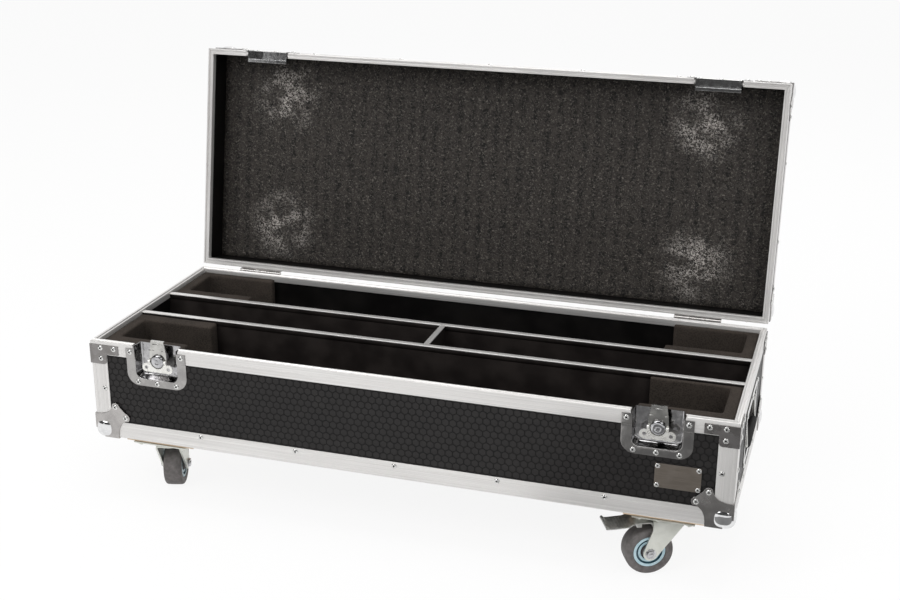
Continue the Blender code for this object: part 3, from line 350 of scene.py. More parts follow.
@dataclass(frozen=True)
class Finish:
    """A procedural material: a ground colour and the tones over it, its roughness and its relief."""

    name: str
    ground: str
    tones: Sequence[Tone]
    rough: Pattern | float
    reliefs: Sequence[Relief]
    metallic: float = 0.0
    shine: float = 0.5
    space: Space = Space.PLACE

    def material(self) -> Look:
        """The material, built when it is first asked for."""
        known = bpy.data.materials.get(self.name)
        if known:
            return known
        made = bpy.data.materials.new(self.name)
        made.use_nodes = True
        tree = made.node_tree
        if self.space is Space.OBJECT:
            where = add_node(tree, "ShaderNodeTexCoord").outputs["Object"]
        else:
            where = add_node(tree, "ShaderNodeAttribute", attribute_name="place").outputs["Vector"]
        self.dress(tree.nodes["Principled BSDF"], Weave(tree, where))
        return made

    def dress(self, shader: bpy.types.Node, weave: Weave) -> None:
        """Lay the tones, the roughness and the relief onto the shader."""
        colour = linear(self.ground)
        for tone in self.tones:
            feeds = {0: weave.socket(tone.share), 6: colour, 7: linear(tone.colour)}
            colour = add_node(weave.tree, "ShaderNodeMix", feeds, data_type="RGBA").outputs[2]
        rough = weave.socket(self.rough) if isinstance(self.rough, Pattern) else self.rough
        inputs = {"Base Color": colour, "Roughness": rough}
        inputs.update({"Metallic": self.metallic, "Specular IOR Level": self.shine})
        before = {}
        for height, strength, distance in self.reliefs:
            feeds = {"Height": weave.socket(height), "Strength": strength, "Distance": distance * MM}
            node = add_node(weave.tree, "ShaderNodeBump", {**feeds, **before})
            before = {"Normal": node.outputs["Normal"]}
        feed(weave.tree, shader, {**inputs, **before})


def film_faced_ply(name: str, low: str, high: str, roughness: float, space: Space) -> Finish:
    """Birch plywood under a satin phenolic film, with orange peel, clouds of dust and pale scuffs.

    Args:
        name: The material's name.
        low: The film's darker colour.
        high: Its paler colour.
        roughness: Its least roughness.
        space: Where it reads its patterns.

    Returns:
        The finish.
    """
    clouds, scuffs = Grain((45, 45, 45), 6), Grain((26, 9, 0.7), 3, 0.8)
    tones = (
        Tone(high, Graded(clouds, (0.3, 0.75))),
        Tone("#3a3633", Graded(scuffs, (0.68, 0.82), (0, 0.25))),
    )
    rough = Graded(clouds, (0.3, 0.8), (roughness, roughness + 0.16))
    peel = Relief(Grain((0.9, 0.9, 0.9), 3), 0.22, 0.05)
    return Finish(name, low, tones, rough, [peel], shine=0.2, space=space)


def plated_steel(
    name: str,
    low: str,
    high: str,
    roughness: float,
    spread: float = 0.08,
    ripple: float = 0.0,
    cloud: float = 9.0,
    metallic: float = 1.0,
) -> Finish:
    """Pressed steel under zinc, nickel or chrome: a cloudy mirror with a few rub marks.

    Args:
        name: The material's name.
        low: The plating's darker colour.
        high: Its paler colour.
        roughness: Its least roughness.
        spread: How much rougher its clouds are.
        ripple: The height in millimetres of the slow waves that pressing leaves, or 0.
        cloud: The size of its clouds in millimetres.
        metallic: How much of a metal it looks.

    Returns:
        The finish.
    """
    clouds, marks = Grain((cloud, cloud, cloud), 5, 0.4), Grain((14, 0.5, 2.2), 2, 1.2)
    tones = (
        Tone(high, Graded(clouds, (0.3, 0.7))),
        Tone("#d6d6d6", Graded(marks, (0.62, 0.8), (0, 0.3))),
    )
    reliefs = [Relief(Grain((0.45, 0.45, 0.45)), 0.12, 0.03)]
    if ripple:
        reliefs.append(Relief(Grain((7, 7, 7), 1), 0.6, ripple))
    rough = Graded(clouds, (0.3, 0.75), (roughness, roughness + spread))
    return Finish(name, low, tones, rough, reliefs, metallic)


def moulded_rubber(
    name: str,
    low: str,
    high: str,
    roughness: float,
    grain: float = 0.35,
    dust: str = "#8a8580",
    dust_share: float = 0.25,
) -> Finish:
    """Moulded rubber or nylon: matt, with the spark texture of its mould and dust in patches.

    Args:
        name: The material's name.
        low: Its darker colour.
        high: Its paler colour.
        roughness: Its middle roughness.
        grain: The size of the mould's texture in millimetres.
        dust: The dust's colour.
        dust_share: How much the dust covers at most.

    Returns:
        The finish.
    """
    texture, clouds = Grain((grain, grain, grain), 3), Grain((7, 7, 7), 5)
    tones = (
        Tone(high, Graded(clouds, (0.3, 0.7))),
        Tone(dust, Graded(clouds, (0.62, 0.8), (0, dust_share))),
    )
    rough = Graded(texture, (0.3, 0.7), (roughness - 0.07, roughness + 0.07))
    return Finish(name, low, tones, rough, [Relief(texture, 0.3, 0.06)])


def extruded_aluminium() -> Finish:
    """Clear anodised 6063: die lines along its length, under broad clouds of handling."""
    lines, clouds = Grain((400, 0.5, 0.5), 3), Grain((180, 60, 60), 4)
    tones = (
        Tone("#e9e7e5", Graded(lines, (0.3, 0.7))),
        Tone("#f0efed", Graded(clouds, (0.35, 0.75), (0, 0.35))),
        Tone("#8f8d8b", Graded(Grain((1.6, 1.6, 1.6)), (0.66, 0.78), (0, 0.3))),
    )
    rough = Graded(clouds, (0.3, 0.8), (0.34, 0.48))
    return Finish("anodised_aluminium_extrusion", "#cbc9c7", tones, rough, [Relief(lines, 0.35, 0.06)], 0.62)


def honeycomb_film() -> Finish:
    """Film embossed with hexagons: dark grey cells with a paler middle, between black joints."""
    clouds, peel = Grain((30, 30, 30), 6), Grain((0.7, 0.7, 0.7), 3)
    tones = (
        Tone("#100f0f", Graded(CellReach(), (4.7 * MM, 5.8 * MM))),
        Tone("#302e2d", Graded(clouds, (0.4, 0.8), (0, 0.35))),
    )
    rough = Graded(clouds, (0.3, 0.8), (0.34, 0.46))
    reliefs = [Relief(peel, 0.25, 0.05)]
    return Finish("honeycomb_film", "#211f1f", tones, rough, reliefs, shine=0.24, space=Space.OBJECT)


def birch_ply() -> Finish:
    """Raw birch plywood: pale tan, with long grain along X and veneers 1.35 mm thick by height."""
    grain, pores = Grain((40, 0.8, 0.8), 4, 0.6), Grain((3, 0.5, 0.4))
    tones = (
        Tone("#efdcc3", Graded(Stripes("Z", 2.7), (-0.4, 0.4))),
        Tone("#b48f69", Graded(grain, (0.35, 0.7), (0, 0.45))),
        Tone("#86674b", Graded(pores, (0.62, 0.75), (0, 0.5))),
    )
    return Finish("raw_birch_plywood", "#d8bd9c", tones, 0.72, [Relief(grain, 0.4, 0.12)])


def cell_foam() -> Finish:
    """Closed-cell polyethylene foam: a dry skin of 2.4 mm cells that drinks the light, with painted shade in
    the cells' hollows.
    """
    walls = Graded(Grain((2.4, 2.4, 2.4), cells=True), (0.1, 0.65))
    # The cells' walls take the paler tone and their hollows keep the darker ground, by the relief's own
    # height: painted shade
    tones = (Tone("#3a342f", walls), Tone("#463e38", Graded(Grain((40, 40, 40), 4), (0.35, 0.75), (0, 0.4))))
    height = Joined("ADD", walls, Grain((0.7, 0.7, 0.7), 4))
    return Finish("closed_cell_foam", "#24201d", tones, 0.93, [Relief(height, 0.5, 0.25)], shine=0.2)


def crepe_foam() -> Finish:
    """Soft foam sheet with a crinkled skin: painted shade in its creases, painted glints over it, and four
    soft patches where the painted highlights are brightest.
    """
    creases, glints = Grain((8, 8, 8), 5, 1.8), Grain((3.4, 3.4, 3.4), 4, 1.2)
    # near and pressed mark four soft patches, by the distance to four spots and by clouds, that hold the
    # brightest painted highlights
    near = Graded(SpotReach(405, 125), (0, 85 * MM), (1, 0))
    pressed = Joined("MULTIPLY", near, Graded(Grain((38, 38, 38), 4), (0.4, 0.62), (0.1, 1)))
    tones = (
        # Paler on the creases' crests and darker in their hollows, by the relief's own height: painted shade
        Tone("#34302c", Graded(creases, (0.4, 0.6))),
        Tone("#3f3a36", Graded(Stripes("X", 24), (-1, 1), (0, 0.3))),
        # Pale specks on the fine crinkles' crests: painted glints
        Tone("#6e6862", Graded(glints, (0.56, 0.68), (0, 0.7))),
        # The palest specks, within the four patches: painted highlights
        Tone("#c2bcb6", Joined("MULTIPLY", pressed, Graded(glints, (0.46, 0.58), (0, 0.9)))),
    )
    rough = Graded(glints, (0.4, 0.7), (0.7, 0.4))
    reliefs = [Relief(Joined("ADD", creases, glints), 0.9, 1.6)]
    return Finish("crinkled_foam_sheet", "#12100f", tones, rough, reliefs, shine=0.3)


def brushed_plate() -> Finish:
    """Bronze-grey aluminium with short brush strokes along X that spread the highlight."""
    strokes = Grain((30, 0.33, 0.33), 3)
    tones = (
        Tone("#a39a90", Graded(strokes, (0.3, 0.7))),
        Tone("#b3a99f", Graded(Grain((18, 18, 18), 4), (0.4, 0.75), (0, 0.3))),
    )
    rough = Graded(strokes, (0.3, 0.7), (0.3, 0.42))
    return Finish("brushed_bare_plate", "#8d847b", tones, rough, [Relief(strokes, 0.3, 0.04)], 1.0)


EXTRUSION = extruded_aluminium()
FILM = film_faced_ply("phenolic_film", "#0b0a0a", "#151312", 0.42, Space.OBJECT)
INNER_FILM = film_faced_ply("phenolic_film_inside", "#1a1615", "#2b2624", 0.5, Space.PLACE)
HONEYCOMB = honeycomb_film()
BIRCH = birch_ply()
CORNER_ZINC = plated_steel("zinc_plated_pressing", "#a9a6a4", "#bdbab8", 0.22, 0.08, 0.1, 20)
# The braces' zinc is the corners' plating made darker for how it reflects at rim height: painted shade
BRACE_ZINC = plated_steel("dull_zinc_brace", "#827f7d", "#949190", 0.24, 0.08, 0.1, 20)
BALL_POLISH = plated_steel("polished_ball", "#dadadb", "#eaeaea", 0.03, 0.03)
DISH_ZINC = plated_steel("bright_zinc_dish", "#9b9998", "#b0aeac", 0.13, 0.07, 0.2, 20)
PAN_ZINC = plated_steel("mirror_zinc_pan", "#a3a2a3", "#c0bfc0", 0.1, 0.08, 0.5)
KEEPER_CHROME = plated_steel("bright_keeper_pressing", "#bdbdbd", "#dadada", 0.1, 0.08, 0.15)
WING_ZINC = plated_steel("pale_zinc_casting", "#dfded9", "#f0efeb", 0.24, 0.1, 0.1, metallic=0.7)
HOOK_ZINC = plated_steel("zinc_hook_plate", "#b0afac", "#cbcac6", 0.12, 0.08, 0.12, 16)
CHROME = plated_steel("polished_chrome", "#a4a4a6", "#cbcbcd", 0.05, 0.05)
RIVET_NICKEL = plated_steel("nickel_rivet", "#cfcfcd", "#e9e9e7", 0.14, 0.08)
# The dark metal in the rivets' shallow bores: painted shade
RIVET_BORE = plated_steel("dark_rivet_bore", "#1f1e1e", "#343231", 0.5, 0.1)
FORK_ZINC = plated_steel("white_zinc_fork", "#cfd0c8", "#dedfd8", 0.3, 0.1, 0.08, 24, 0.7)
PEDAL_STEEL = plated_steel("bright_pedal_steel", "#a2a29e", "#c2c2be", 0.32, 0.1, 0.08, metallic=0.75)
GRIP_RUBBER = moulded_rubber("black_grip_rubber", "#121212", "#1d1c1c", 0.62, dust_share=0.06)
TYRE_RUBBER = moulded_rubber("grey_tyre_rubber", "#575352", "#6a6665", 0.58, dust="#8d8985")
PALE_NYLON = moulded_rubber("pale_blue_nylon", "#a6c4cf", "#bdd5dd", 0.38, 0.5, dust_share=0.12)
TEAL_NYLON = moulded_rubber("teal_nylon", "#1f4653", "#2b5767", 0.4, 0.5, dust_share=0.1)
HUB_GREY = moulded_rubber("grey_hub_nylon", "#4f4a4b", "#625d5d", 0.5, 0.5, dust_share=0.1)
CUP_FOAM = cell_foam()
SHEET_FOAM = crepe_foam()
PLATE = brushed_plate()


# Meshes


def as_object(name: str, mesh: bpy.types.Mesh) -> Item:
    """Link a mesh into the scene as an object at the origin."""
    item = bpy.data.objects.new(name, mesh)
    bpy.context.scene.collection.objects.link(item)
    return item


@contextmanager
def reshaped(mesh: bpy.types.Mesh) -> Iterator[bmesh.types.BMesh]:
    """Open a mesh for changes, and write it back at the end."""
    shape = bmesh.new()
    shape.from_mesh(mesh)
    yield shape
    shape.to_mesh(mesh)
    shape.free()


def surface(name: str, points: Iterable[Sequence[float]], faces: Iterable[Sequence[int]]) -> Item:
    """Make a closed mesh of points and faces, and turn its faces outwards."""
    mesh = bpy.data.meshes.new(name)
    mesh.from_pydata([tuple(point) for point in points], [], [tuple(face) for face in faces])
    with reshaped(mesh) as shape:
        bmesh.ops.recalc_face_normals(shape, faces=shape.faces)
    return as_object(name, mesh)


def discard(*items: Item) -> None:
    """Remove helper objects."""
    for item in items:
        bpy.data.objects.remove(item)


def applied(item: Item) -> Item:
    """Turn an object's modifiers into plain mesh."""
    graph = bpy.context.evaluated_depsgraph_get()
    mesh = bpy.data.meshes.new_from_object(item.evaluated_get(graph))
    item.modifiers.clear()
    if item.type != "MESH":
        made = as_object(item.name + "_mesh", mesh)
        discard(item)
        return made
    item.data = mesh
    return item


def rounded(item: Item, width: float, segments: int = 2, angle: float = 32) -> Item:
    """Round a piece's edges.

    Args:
        item: The piece.
        width: How far the rounding reaches from each edge.
        segments: The steps across it.
        angle: The least angle, in degrees, of an edge that is rounded.

    Returns:
        The piece, as plain mesh.
    """
    bevel = item.modifiers.new("edges", "BEVEL")
    bevel.limit_method = "ANGLE"
    bevel.angle_limit = math.radians(angle)
    bevel.width = width
    bevel.segments = segments
    bevel.miter_outer = "MITER_ARC"
    bevel.harden_normals = True
    item.data.shade_smooth()
    return applied(item)


def softened(node: str, width: float, segments: int = 3) -> Item:
    """A copy of a CAD node with its loose triangles merged and its edges rounded.

    Args:
        node: The CAD node.
        width: How far the rounding reaches from each edge.
        segments: The steps across it.

    Returns:
        The copy.
    """
    shape = bmesh.new()
    shape.from_mesh(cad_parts[node].data)
    bmesh.ops.remove_doubles(shape, verts=shape.verts, dist=2 * WELD)
    bmesh.ops.dissolve_limit(shape, angle_limit=FLAT, verts=shape.verts, edges=shape.edges)
    mesh = bpy.data.meshes.new(node)
    shape.to_mesh(mesh)
    shape.free()
    for layer in ("custom_normal", "sharp_edge", "sharp_face"):
        if layer in mesh.attributes:
            mesh.attributes.remove(mesh.attributes[layer])
    return rounded(as_object(f"{node}_looks", mesh), width, segments)


def arc(centre: Point2, radius: float, start: float, end: float, steps: int = 8) -> list[Point2]:
    """Points on an arc between two angles in degrees."""
    turns = [math.radians(start + (end - start) * step / steps) for step in range(steps + 1)]
    return [(centre[0] + radius * math.cos(turn), centre[1] + radius * math.sin(turn)) for turn in turns]


def bend(start: Vector, knee: Vector, end: Vector, steps: int) -> list[Point2]:
    """Points on a curve between two places, which leaves and arrives along the sides of a knee."""
    points = []
    for step in range(steps + 1):
        share = step / steps
        point = start * (1 - share) ** 2 + knee * 2 * share * (1 - share) + end * share**2
        points.append((point.x, point.y))
    return points


def filleted(corners: Sequence[Point3], steps: int = 3) -> list[Point2]:
    """A polygon with some of its corners rounded.

    Args:
        corners: Each corner's two coordinates and its radius, or 0 for a sharp one.
        steps: The steps round each corner.

    Returns:
        The outline.
    """
    outline: list[Point2] = []
    for index, (u, v, radius) in enumerate(corners):
        if radius <= 0:
            outline.append((u, v))
            continue
        here = Vector((u, v))
        before = (Vector(corners[index - 1][:2]) - here).normalized()
        after = (Vector(corners[(index + 1) % len(corners)][:2]) - here).normalized()
        reach = radius / math.tan(before.angle(after) / 2)
        outline += bend(here + before * reach, here, here + after * reach, steps)
    return outline


def prism(name: str, outline: Sequence[Point2], axis: str, low: float, high: float) -> Item:
    """Extrude an outline along an axis.

    Args:
        name: The object's name.
        outline: Points in the plane square to the axis, in X, Y, Z order.
        axis: X, Y or Z.
        low: Where the extrusion starts along the axis.
        high: Where it ends.

    Returns:
        The prism.
    """
    order = {"X": (2, 0, 1), "Y": (0, 2, 1), "Z": (0, 1, 2)}[axis]
    points = [[(u, v, level)[place] for place in order] for level in (low, high) for u, v in outline]
    count = len(outline)
    faces = [list(range(count)), list(range(count, 2 * count))]
    faces += [[i, (i + 1) % count, (i + 1) % count + count, i + count] for i in range(count)]
    return surface(name, points, faces)


def block(name: str, low: Sequence[float], high: Sequence[float]) -> Item:
    """A box between two corners, to be rounded or cut."""
    outline = [(low[0], low[1]), (high[0], low[1]), (high[0], high[1]), (low[0], high[1])]
    return prism(name, outline, "Z", low[2], high[2])


def turned(name: str, profile: Sequence[Point2], sides: int) -> Item:
    """Turn a closed outline of (radius, height) about Z.

    Args:
        name: The object's name.
        profile: The outline. Points of radius 0 become poles.
        sides: The steps round the axis.

    Returns:
        The turned piece.
    """
    points: list[Point3] = []
    rings: list[list[int]] = []
    for radius, height in profile:
        steps = sides if radius > 0 else 1
        rings.append([len(points) + step for step in range(steps)])
        for step in range(steps):
            angle = 2 * math.pi * step / sides
            points.append((radius * math.cos(angle), radius * math.sin(angle), height))
    faces = []
    for index, ring in enumerate(rings):
        after = rings[(index + 1) % len(rings)]
        for step in range(sides):
            near, far = step, (step + 1) % sides
            corners = ((ring, near), (ring, far), (after, far), (after, near))
            face = tuple(dict.fromkeys(row[place % len(row)] for row, place in corners))
            if len(face) > 2:
                faces.append(face)
    made = surface(name, points, faces)
    made.data.shade_smooth()
    return made


def bar(name: str, path: Sequence[Sequence[float]], radius: float, sides: int = 20) -> Item:
    """A round bar along a path, as mesh.

    Args:
        name: The object's name.
        path: The points of its centre line.
        radius: The bar's radius.
        sides: The sides round it.

    Returns:
        The bar.
    """
    curve = bpy.data.curves.new(name, "CURVE")
    curve.dimensions = "3D"
    curve.bevel_depth = radius
    curve.bevel_resolution = max(0, sides // 2 - 2)
    curve.use_fill_caps = True
    spline = curve.splines.new("POLY")
    spline.points.add(len(path) - 1)
    for place, point in zip(spline.points, path):
        place.co = (*point, 1)
    made = applied(as_object(name, curve))
    with reshaped(made.data) as shape:
        bmesh.ops.remove_doubles(shape, verts=shape.verts, dist=WELD)
        bmesh.ops.recalc_face_normals(shape, faces=shape.faces)
    made.data.shade_smooth()
    return made


def cut(item: Item, tool: Item) -> Item:
    """Cut another piece from a piece, and use it up."""
    modifier = item.modifiers.new("cut", "BOOLEAN")
    modifier.operation = "DIFFERENCE"
    modifier.solver = "EXACT"
    modifier.object = tool
    made = applied(item)
    discard(tool)
    return made


def merged(name: str, items: Sequence[Item]) -> Item:
    """Put several closed pieces of one finish into one object."""
    shape = bmesh.new()
    for item in items:
        shape.from_mesh(item.data)
    mesh = bpy.data.meshes.new(name)
    shape.to_mesh(mesh)
    shape.free()
    mesh.shade_smooth()
    discard(*items)
    return as_object(name, mesh)


def store(mesh: bpy.types.Mesh, name: str, values: Sequence[Sequence[float]]) -> None:
    """Keep a vector for each vertex on a mesh."""
    layer = mesh.attributes.new(name, "FLOAT_VECTOR", "POINT")
    layer.data.foreach_set("vector", [number for value in values for number in value])


def settle(
    item: Item,
    name: str,
    body: str,
    finishes: Sequence[Finish],
    place: Matrix = IDENTITY,
    stands_for: Sequence[str] = (),
    drawn_in_place: bool = False,
) -> Item:
    """Name a finished piece, put it in its place, dress it and hand it to the frame.

    Args:
        item: The piece.
        name: Its final name.
        body: The CAD body it rides on.
        finishes: Its materials, in the order of its material indices.
        place: Takes the piece from where it is drawn to where it lies.
        stands_for: The CAD nodes that it replaces.
        drawn_in_place: Whether the mesh is already where it lies.

    Returns:
        The piece.
    """
    mesh = item.data
    if "place" not in mesh.attributes:
        home = place.inverted() if drawn_in_place else IDENTITY
        store(mesh, "place", [home @ vertex.co for vertex in mesh.vertices])
    if not drawn_in_place:
        mesh.transform(place)
        if place.determinant() < 0:
            mesh.flip_normals()
    item.name = mesh.name = name
    if not mesh.materials:
        for finish in finishes:
            mesh.materials.append(finish.material())
    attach(item, body)
    if stands_for:
        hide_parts(*stands_for)
    LOG.info("%s rides on %s, %d faces", name, body, len(mesh.polygons))
    return item


def dressed_copy(
    node: str,
    ending: str,
    body: str,
    finish: Finish,
    edge: float,
    segments: int = 3,
    place: Matrix = IDENTITY,
) -> None:
    """Show a CAD node as a copy of itself with rounded edges.

    Args:
        node: The CAD node.
        ending: What the copy's name adds to the node's.
        body: The CAD body it rides on.
        finish: Its material.
        edge: How far the rounding reaches from each edge.
        segments: The steps across it.
        place: Takes a piece of this body from where it is drawn to where it lies.
    """
    settle(softened(node, edge, segments), f"{node}_{ending}", body, [finish], place, [node], True)


def mirrored(item: Item, name: str, matrix: Matrix) -> Item:
    """A moved or mirrored copy of a piece, with its faces outwards."""
    mesh = item.data.copy()
    mesh.transform(matrix)
    if matrix.determinant() < 0:
        mesh.flip_normals()
    return as_object(name, mesh)


# What repeats


@dataclass(frozen=True)
class RepeatTree:
    """A Geometry Nodes tree that sets one shape on many points, turned to face away from the surface."""

    name: str
    sizes: dict[str, float]
    shape: Shape
    finish: Finish
    seed: int = 7
    twist: float = 0.0
    inlay: Finish | None = None

    def build(self) -> Tree:
        """Build the tree with its named inputs."""
        tree = bpy.data.node_groups.new(self.name, "GeometryNodeTree")
        tree.interface.new_socket("Points", in_out="INPUT", socket_type="NodeSocketGeometry")
        for size in self.sizes:
            tree.interface.new_socket(size, in_out="INPUT", socket_type="NodeSocketFloat")
        tree.interface.new_socket("Pieces", in_out="OUTPUT", socket_type="NodeSocketGeometry")
        start = add_node(tree, "NodeGroupInput")
        feeds = {}
        for index, way in enumerate(("facing", "upward")):
            kind = "GeometryNodeInputNamedAttribute"
            stored = add_node(tree, kind, {"Name": way}, data_type="FLOAT_VECTOR")
            feeds[index] = stored.outputs["Attribute"]
        turned_to = add_node(tree, "FunctionNodeAxesToRotation", feeds, primary_axis="Z", secondary_axis="X")
        turn = turned_to.outputs[0]
        if self.twist:
            feeds = {"Min": -self.twist, "Max": self.twist, "Seed": self.seed}
            chance = add_node(tree, "FunctionNodeRandomValue", feeds).outputs["Value"]
            feeds = {"Axis": (0, 0, 1), "Angle": chance}
            feeds = {0: turn, 1: add_node(tree, "FunctionNodeAxisAngleToRotation", feeds).outputs[0]}
            turn = add_node(tree, "FunctionNodeRotateRotation", feeds, rotation_space="LOCAL").outputs[0]
        feeds = {"Points": start.outputs["Points"], "Instance": self.shape(tree, start), "Rotation": turn}
        copies = add_node(tree, "GeometryNodeInstanceOnPoints", feeds)
        real = add_node(tree, "GeometryNodeRealizeInstances", {0: copies.outputs[0]})
        feeds = {"Geometry": real.outputs[0], "Material": self.finish.material()}
        dressed = add_node(tree, "GeometryNodeSetMaterial", feeds)
        # Faces marked for it take a second finish: the rivets' painted shade in their bores
        if self.inlay:
            inner = add_node(tree, "GeometryNodeInputNamedAttribute", {"Name": "inlay"}, data_type="BOOLEAN")
            feeds = {"Geometry": dressed.outputs[0], "Selection": inner.outputs["Attribute"]}
            dressed = add_node(tree, "GeometryNodeSetMaterial", {**feeds, "Material": self.inlay.material()})
        add_node(tree, "NodeGroupOutput", {"Pieces": dressed.outputs[0]})
        return tree

    def spread(self, name: str, spots: Spots) -> Item:
        """Set the shape on points.

        Args:
            name: The object's name.
            spots: For each copy its place, the way it faces and the way that is up on it.

        Returns:
            All the copies as one plain mesh.
        """
        mesh = bpy.data.meshes.new(name)
        mesh.from_pydata([tuple(spot[0]) for spot in spots], [], [])
        store(mesh, "facing", [spot[1] for spot in spots])
        store(mesh, "upward", [spot[2] for spot in spots])
        item = as_object(name, mesh)
        modifier = item.modifiers.new(self.name, "NODES")
        tree = self.build()
        modifier.node_group = tree
        for socket in tree.interface.items_tree:
            if socket.name in self.sizes:
                modifier[socket.identifier] = self.sizes[socket.name]
        return applied(item)


def hexagon_cell(tree: Tree, start: bpy.types.Node) -> Socket:
    """A low six-sided plate, by Cell width, Bevel and Relief, which carries each point's place in it."""
    feeds = {0: start.outputs["Cell width"], 1: math.sqrt(3)}
    radius = add_node(tree, "ShaderNodeMath", feeds, operation="DIVIDE").outputs[0]
    feeds = {0: radius, 1: start.outputs["Bevel"]}
    top = add_node(tree, "ShaderNodeMath", feeds, operation="SUBTRACT").outputs[0]
    feeds = {"Vertices": 6, "Radius Top": top, "Radius Bottom": radius, "Depth": start.outputs["Relief"]}
    cone = add_node(tree, "GeometryNodeMeshCone", feeds, fill_type="TRIANGLE_FAN").outputs["Mesh"]
    place = add_node(tree, "GeometryNodeInputPosition").outputs[0]
    feeds = {"Geometry": cone, "Name": "cell", "Value": place}
    return add_node(tree, "GeometryNodeStoreNamedAttribute", feeds, data_type="FLOAT_VECTOR").outputs[0]


def rib_ring(tree: Tree, start: bpy.types.Node) -> Socket:
    """A ring with a round section about Z, by Ring radius and Rib radius."""
    curves = []
    for steps, size in ((28, "Ring radius"), (6, "Rib radius")):
        feeds = {"Resolution": steps, "Radius": start.outputs[size]}
        curves.append(add_node(tree, "GeometryNodeCurvePrimitiveCircle", feeds).outputs["Curve"])
    feeds = {"Curve": curves[0], "Profile Curve": curves[1]}
    return add_node(tree, "GeometryNodeCurveToMesh", feeds).outputs[0]


def rib_bar(tree: Tree, start: bpy.types.Node) -> Socket:
    """A round bar along Z, by Length and Rib radius."""
    feeds = {"Vertices": 10, "Radius": start.outputs["Rib radius"], "Depth": start.outputs["Length"]}
    return add_node(tree, "GeometryNodeMeshCylinder", feeds).outputs["Mesh"]


def turned_shape(source: Item) -> Shape:
    """A shape that is drawn one unit wide and scaled by the tree's Diameter input."""

    def shape(tree: Tree, start: bpy.types.Node) -> Socket:
        """Bring the drawn shape in and scale it."""
        drawn = add_node(tree, "GeometryNodeObjectInfo", {"Object": source}, transform_space="ORIGINAL")
        feeds = {axis: start.outputs["Diameter"] for axis in ("X", "Y", "Z")}
        size = add_node(tree, "ShaderNodeCombineXYZ", feeds).outputs[0]
        feeds = {"Geometry": drawn.outputs["Geometry"], "Scale": size}
        return add_node(tree, "GeometryNodeTransform", feeds).outputs[0]

    return shape


@dataclass(frozen=True)
class Rivets:
    """Tubular rivets: domed nickel heads, each with a shallow bore in the middle whose faces are painted
    dark as shade.
    """

    diameter: float = 9.4 * MM
    height: float = 0.2
    bore: float = 0.17
    sides: int = 20

    def head(self) -> Item:
        """One head, one unit wide, standing on Z = 0."""
        profile = [(0, -0.02), (0.5, -0.02), (0.5, 0.035), (0.455, 0.1), (0.36, 0.16), (0.25, self.height)]
        profile += [(self.bore + 0.04, self.height), (self.bore, self.height - 0.03)]
        profile += [(self.bore - 0.02, 0.05), (0, 0.04)]
        made = turned("rivet_head", profile, self.sides)
        # The bore's faces take the dark finish: painted shade
        layer = made.data.attributes.new("inlay", "BOOLEAN", "FACE")
        for face in made.data.polygons:
            reach = max(made.data.vertices[v].co.xy.length for v in face.vertices)
            layer.data[face.index].value = reach < self.bore + 0.01 and face.center.z > 0
        return made

    def set_in(
        self, name: str, body: str, spots: Spots, place: Matrix = IDENTITY, diameter: float | None = None
    ) -> None:
        """Set rivets in a body.

        Args:
            name: The piece's name.
            body: The CAD body it rides on.
            spots: Each rivet's place on the surface and the way it faces.
            place: Takes the spots from where they are drawn to where they lie.
            diameter: Their diameter, if it isn't the usual one.
        """
        head = self.head()
        sizes = {"Diameter": diameter or self.diameter}
        tree = RepeatTree(name, sizes, turned_shape(head), RIVET_NICKEL, twist=math.pi, inlay=RIVET_BORE)
        upright, flat = (0.0, 0.0, 1.0), (1.0, 0.0, 0.0)
        full = [(at, facing, upright if abs(facing[2]) < 0.5 else flat) for at, facing in spots]
        made = tree.spread(name, full)
        discard(head)
        settle(made, name, body, [RIVET_NICKEL, RIVET_BORE], place)


RIVETS = Rivets()


# Extrusions


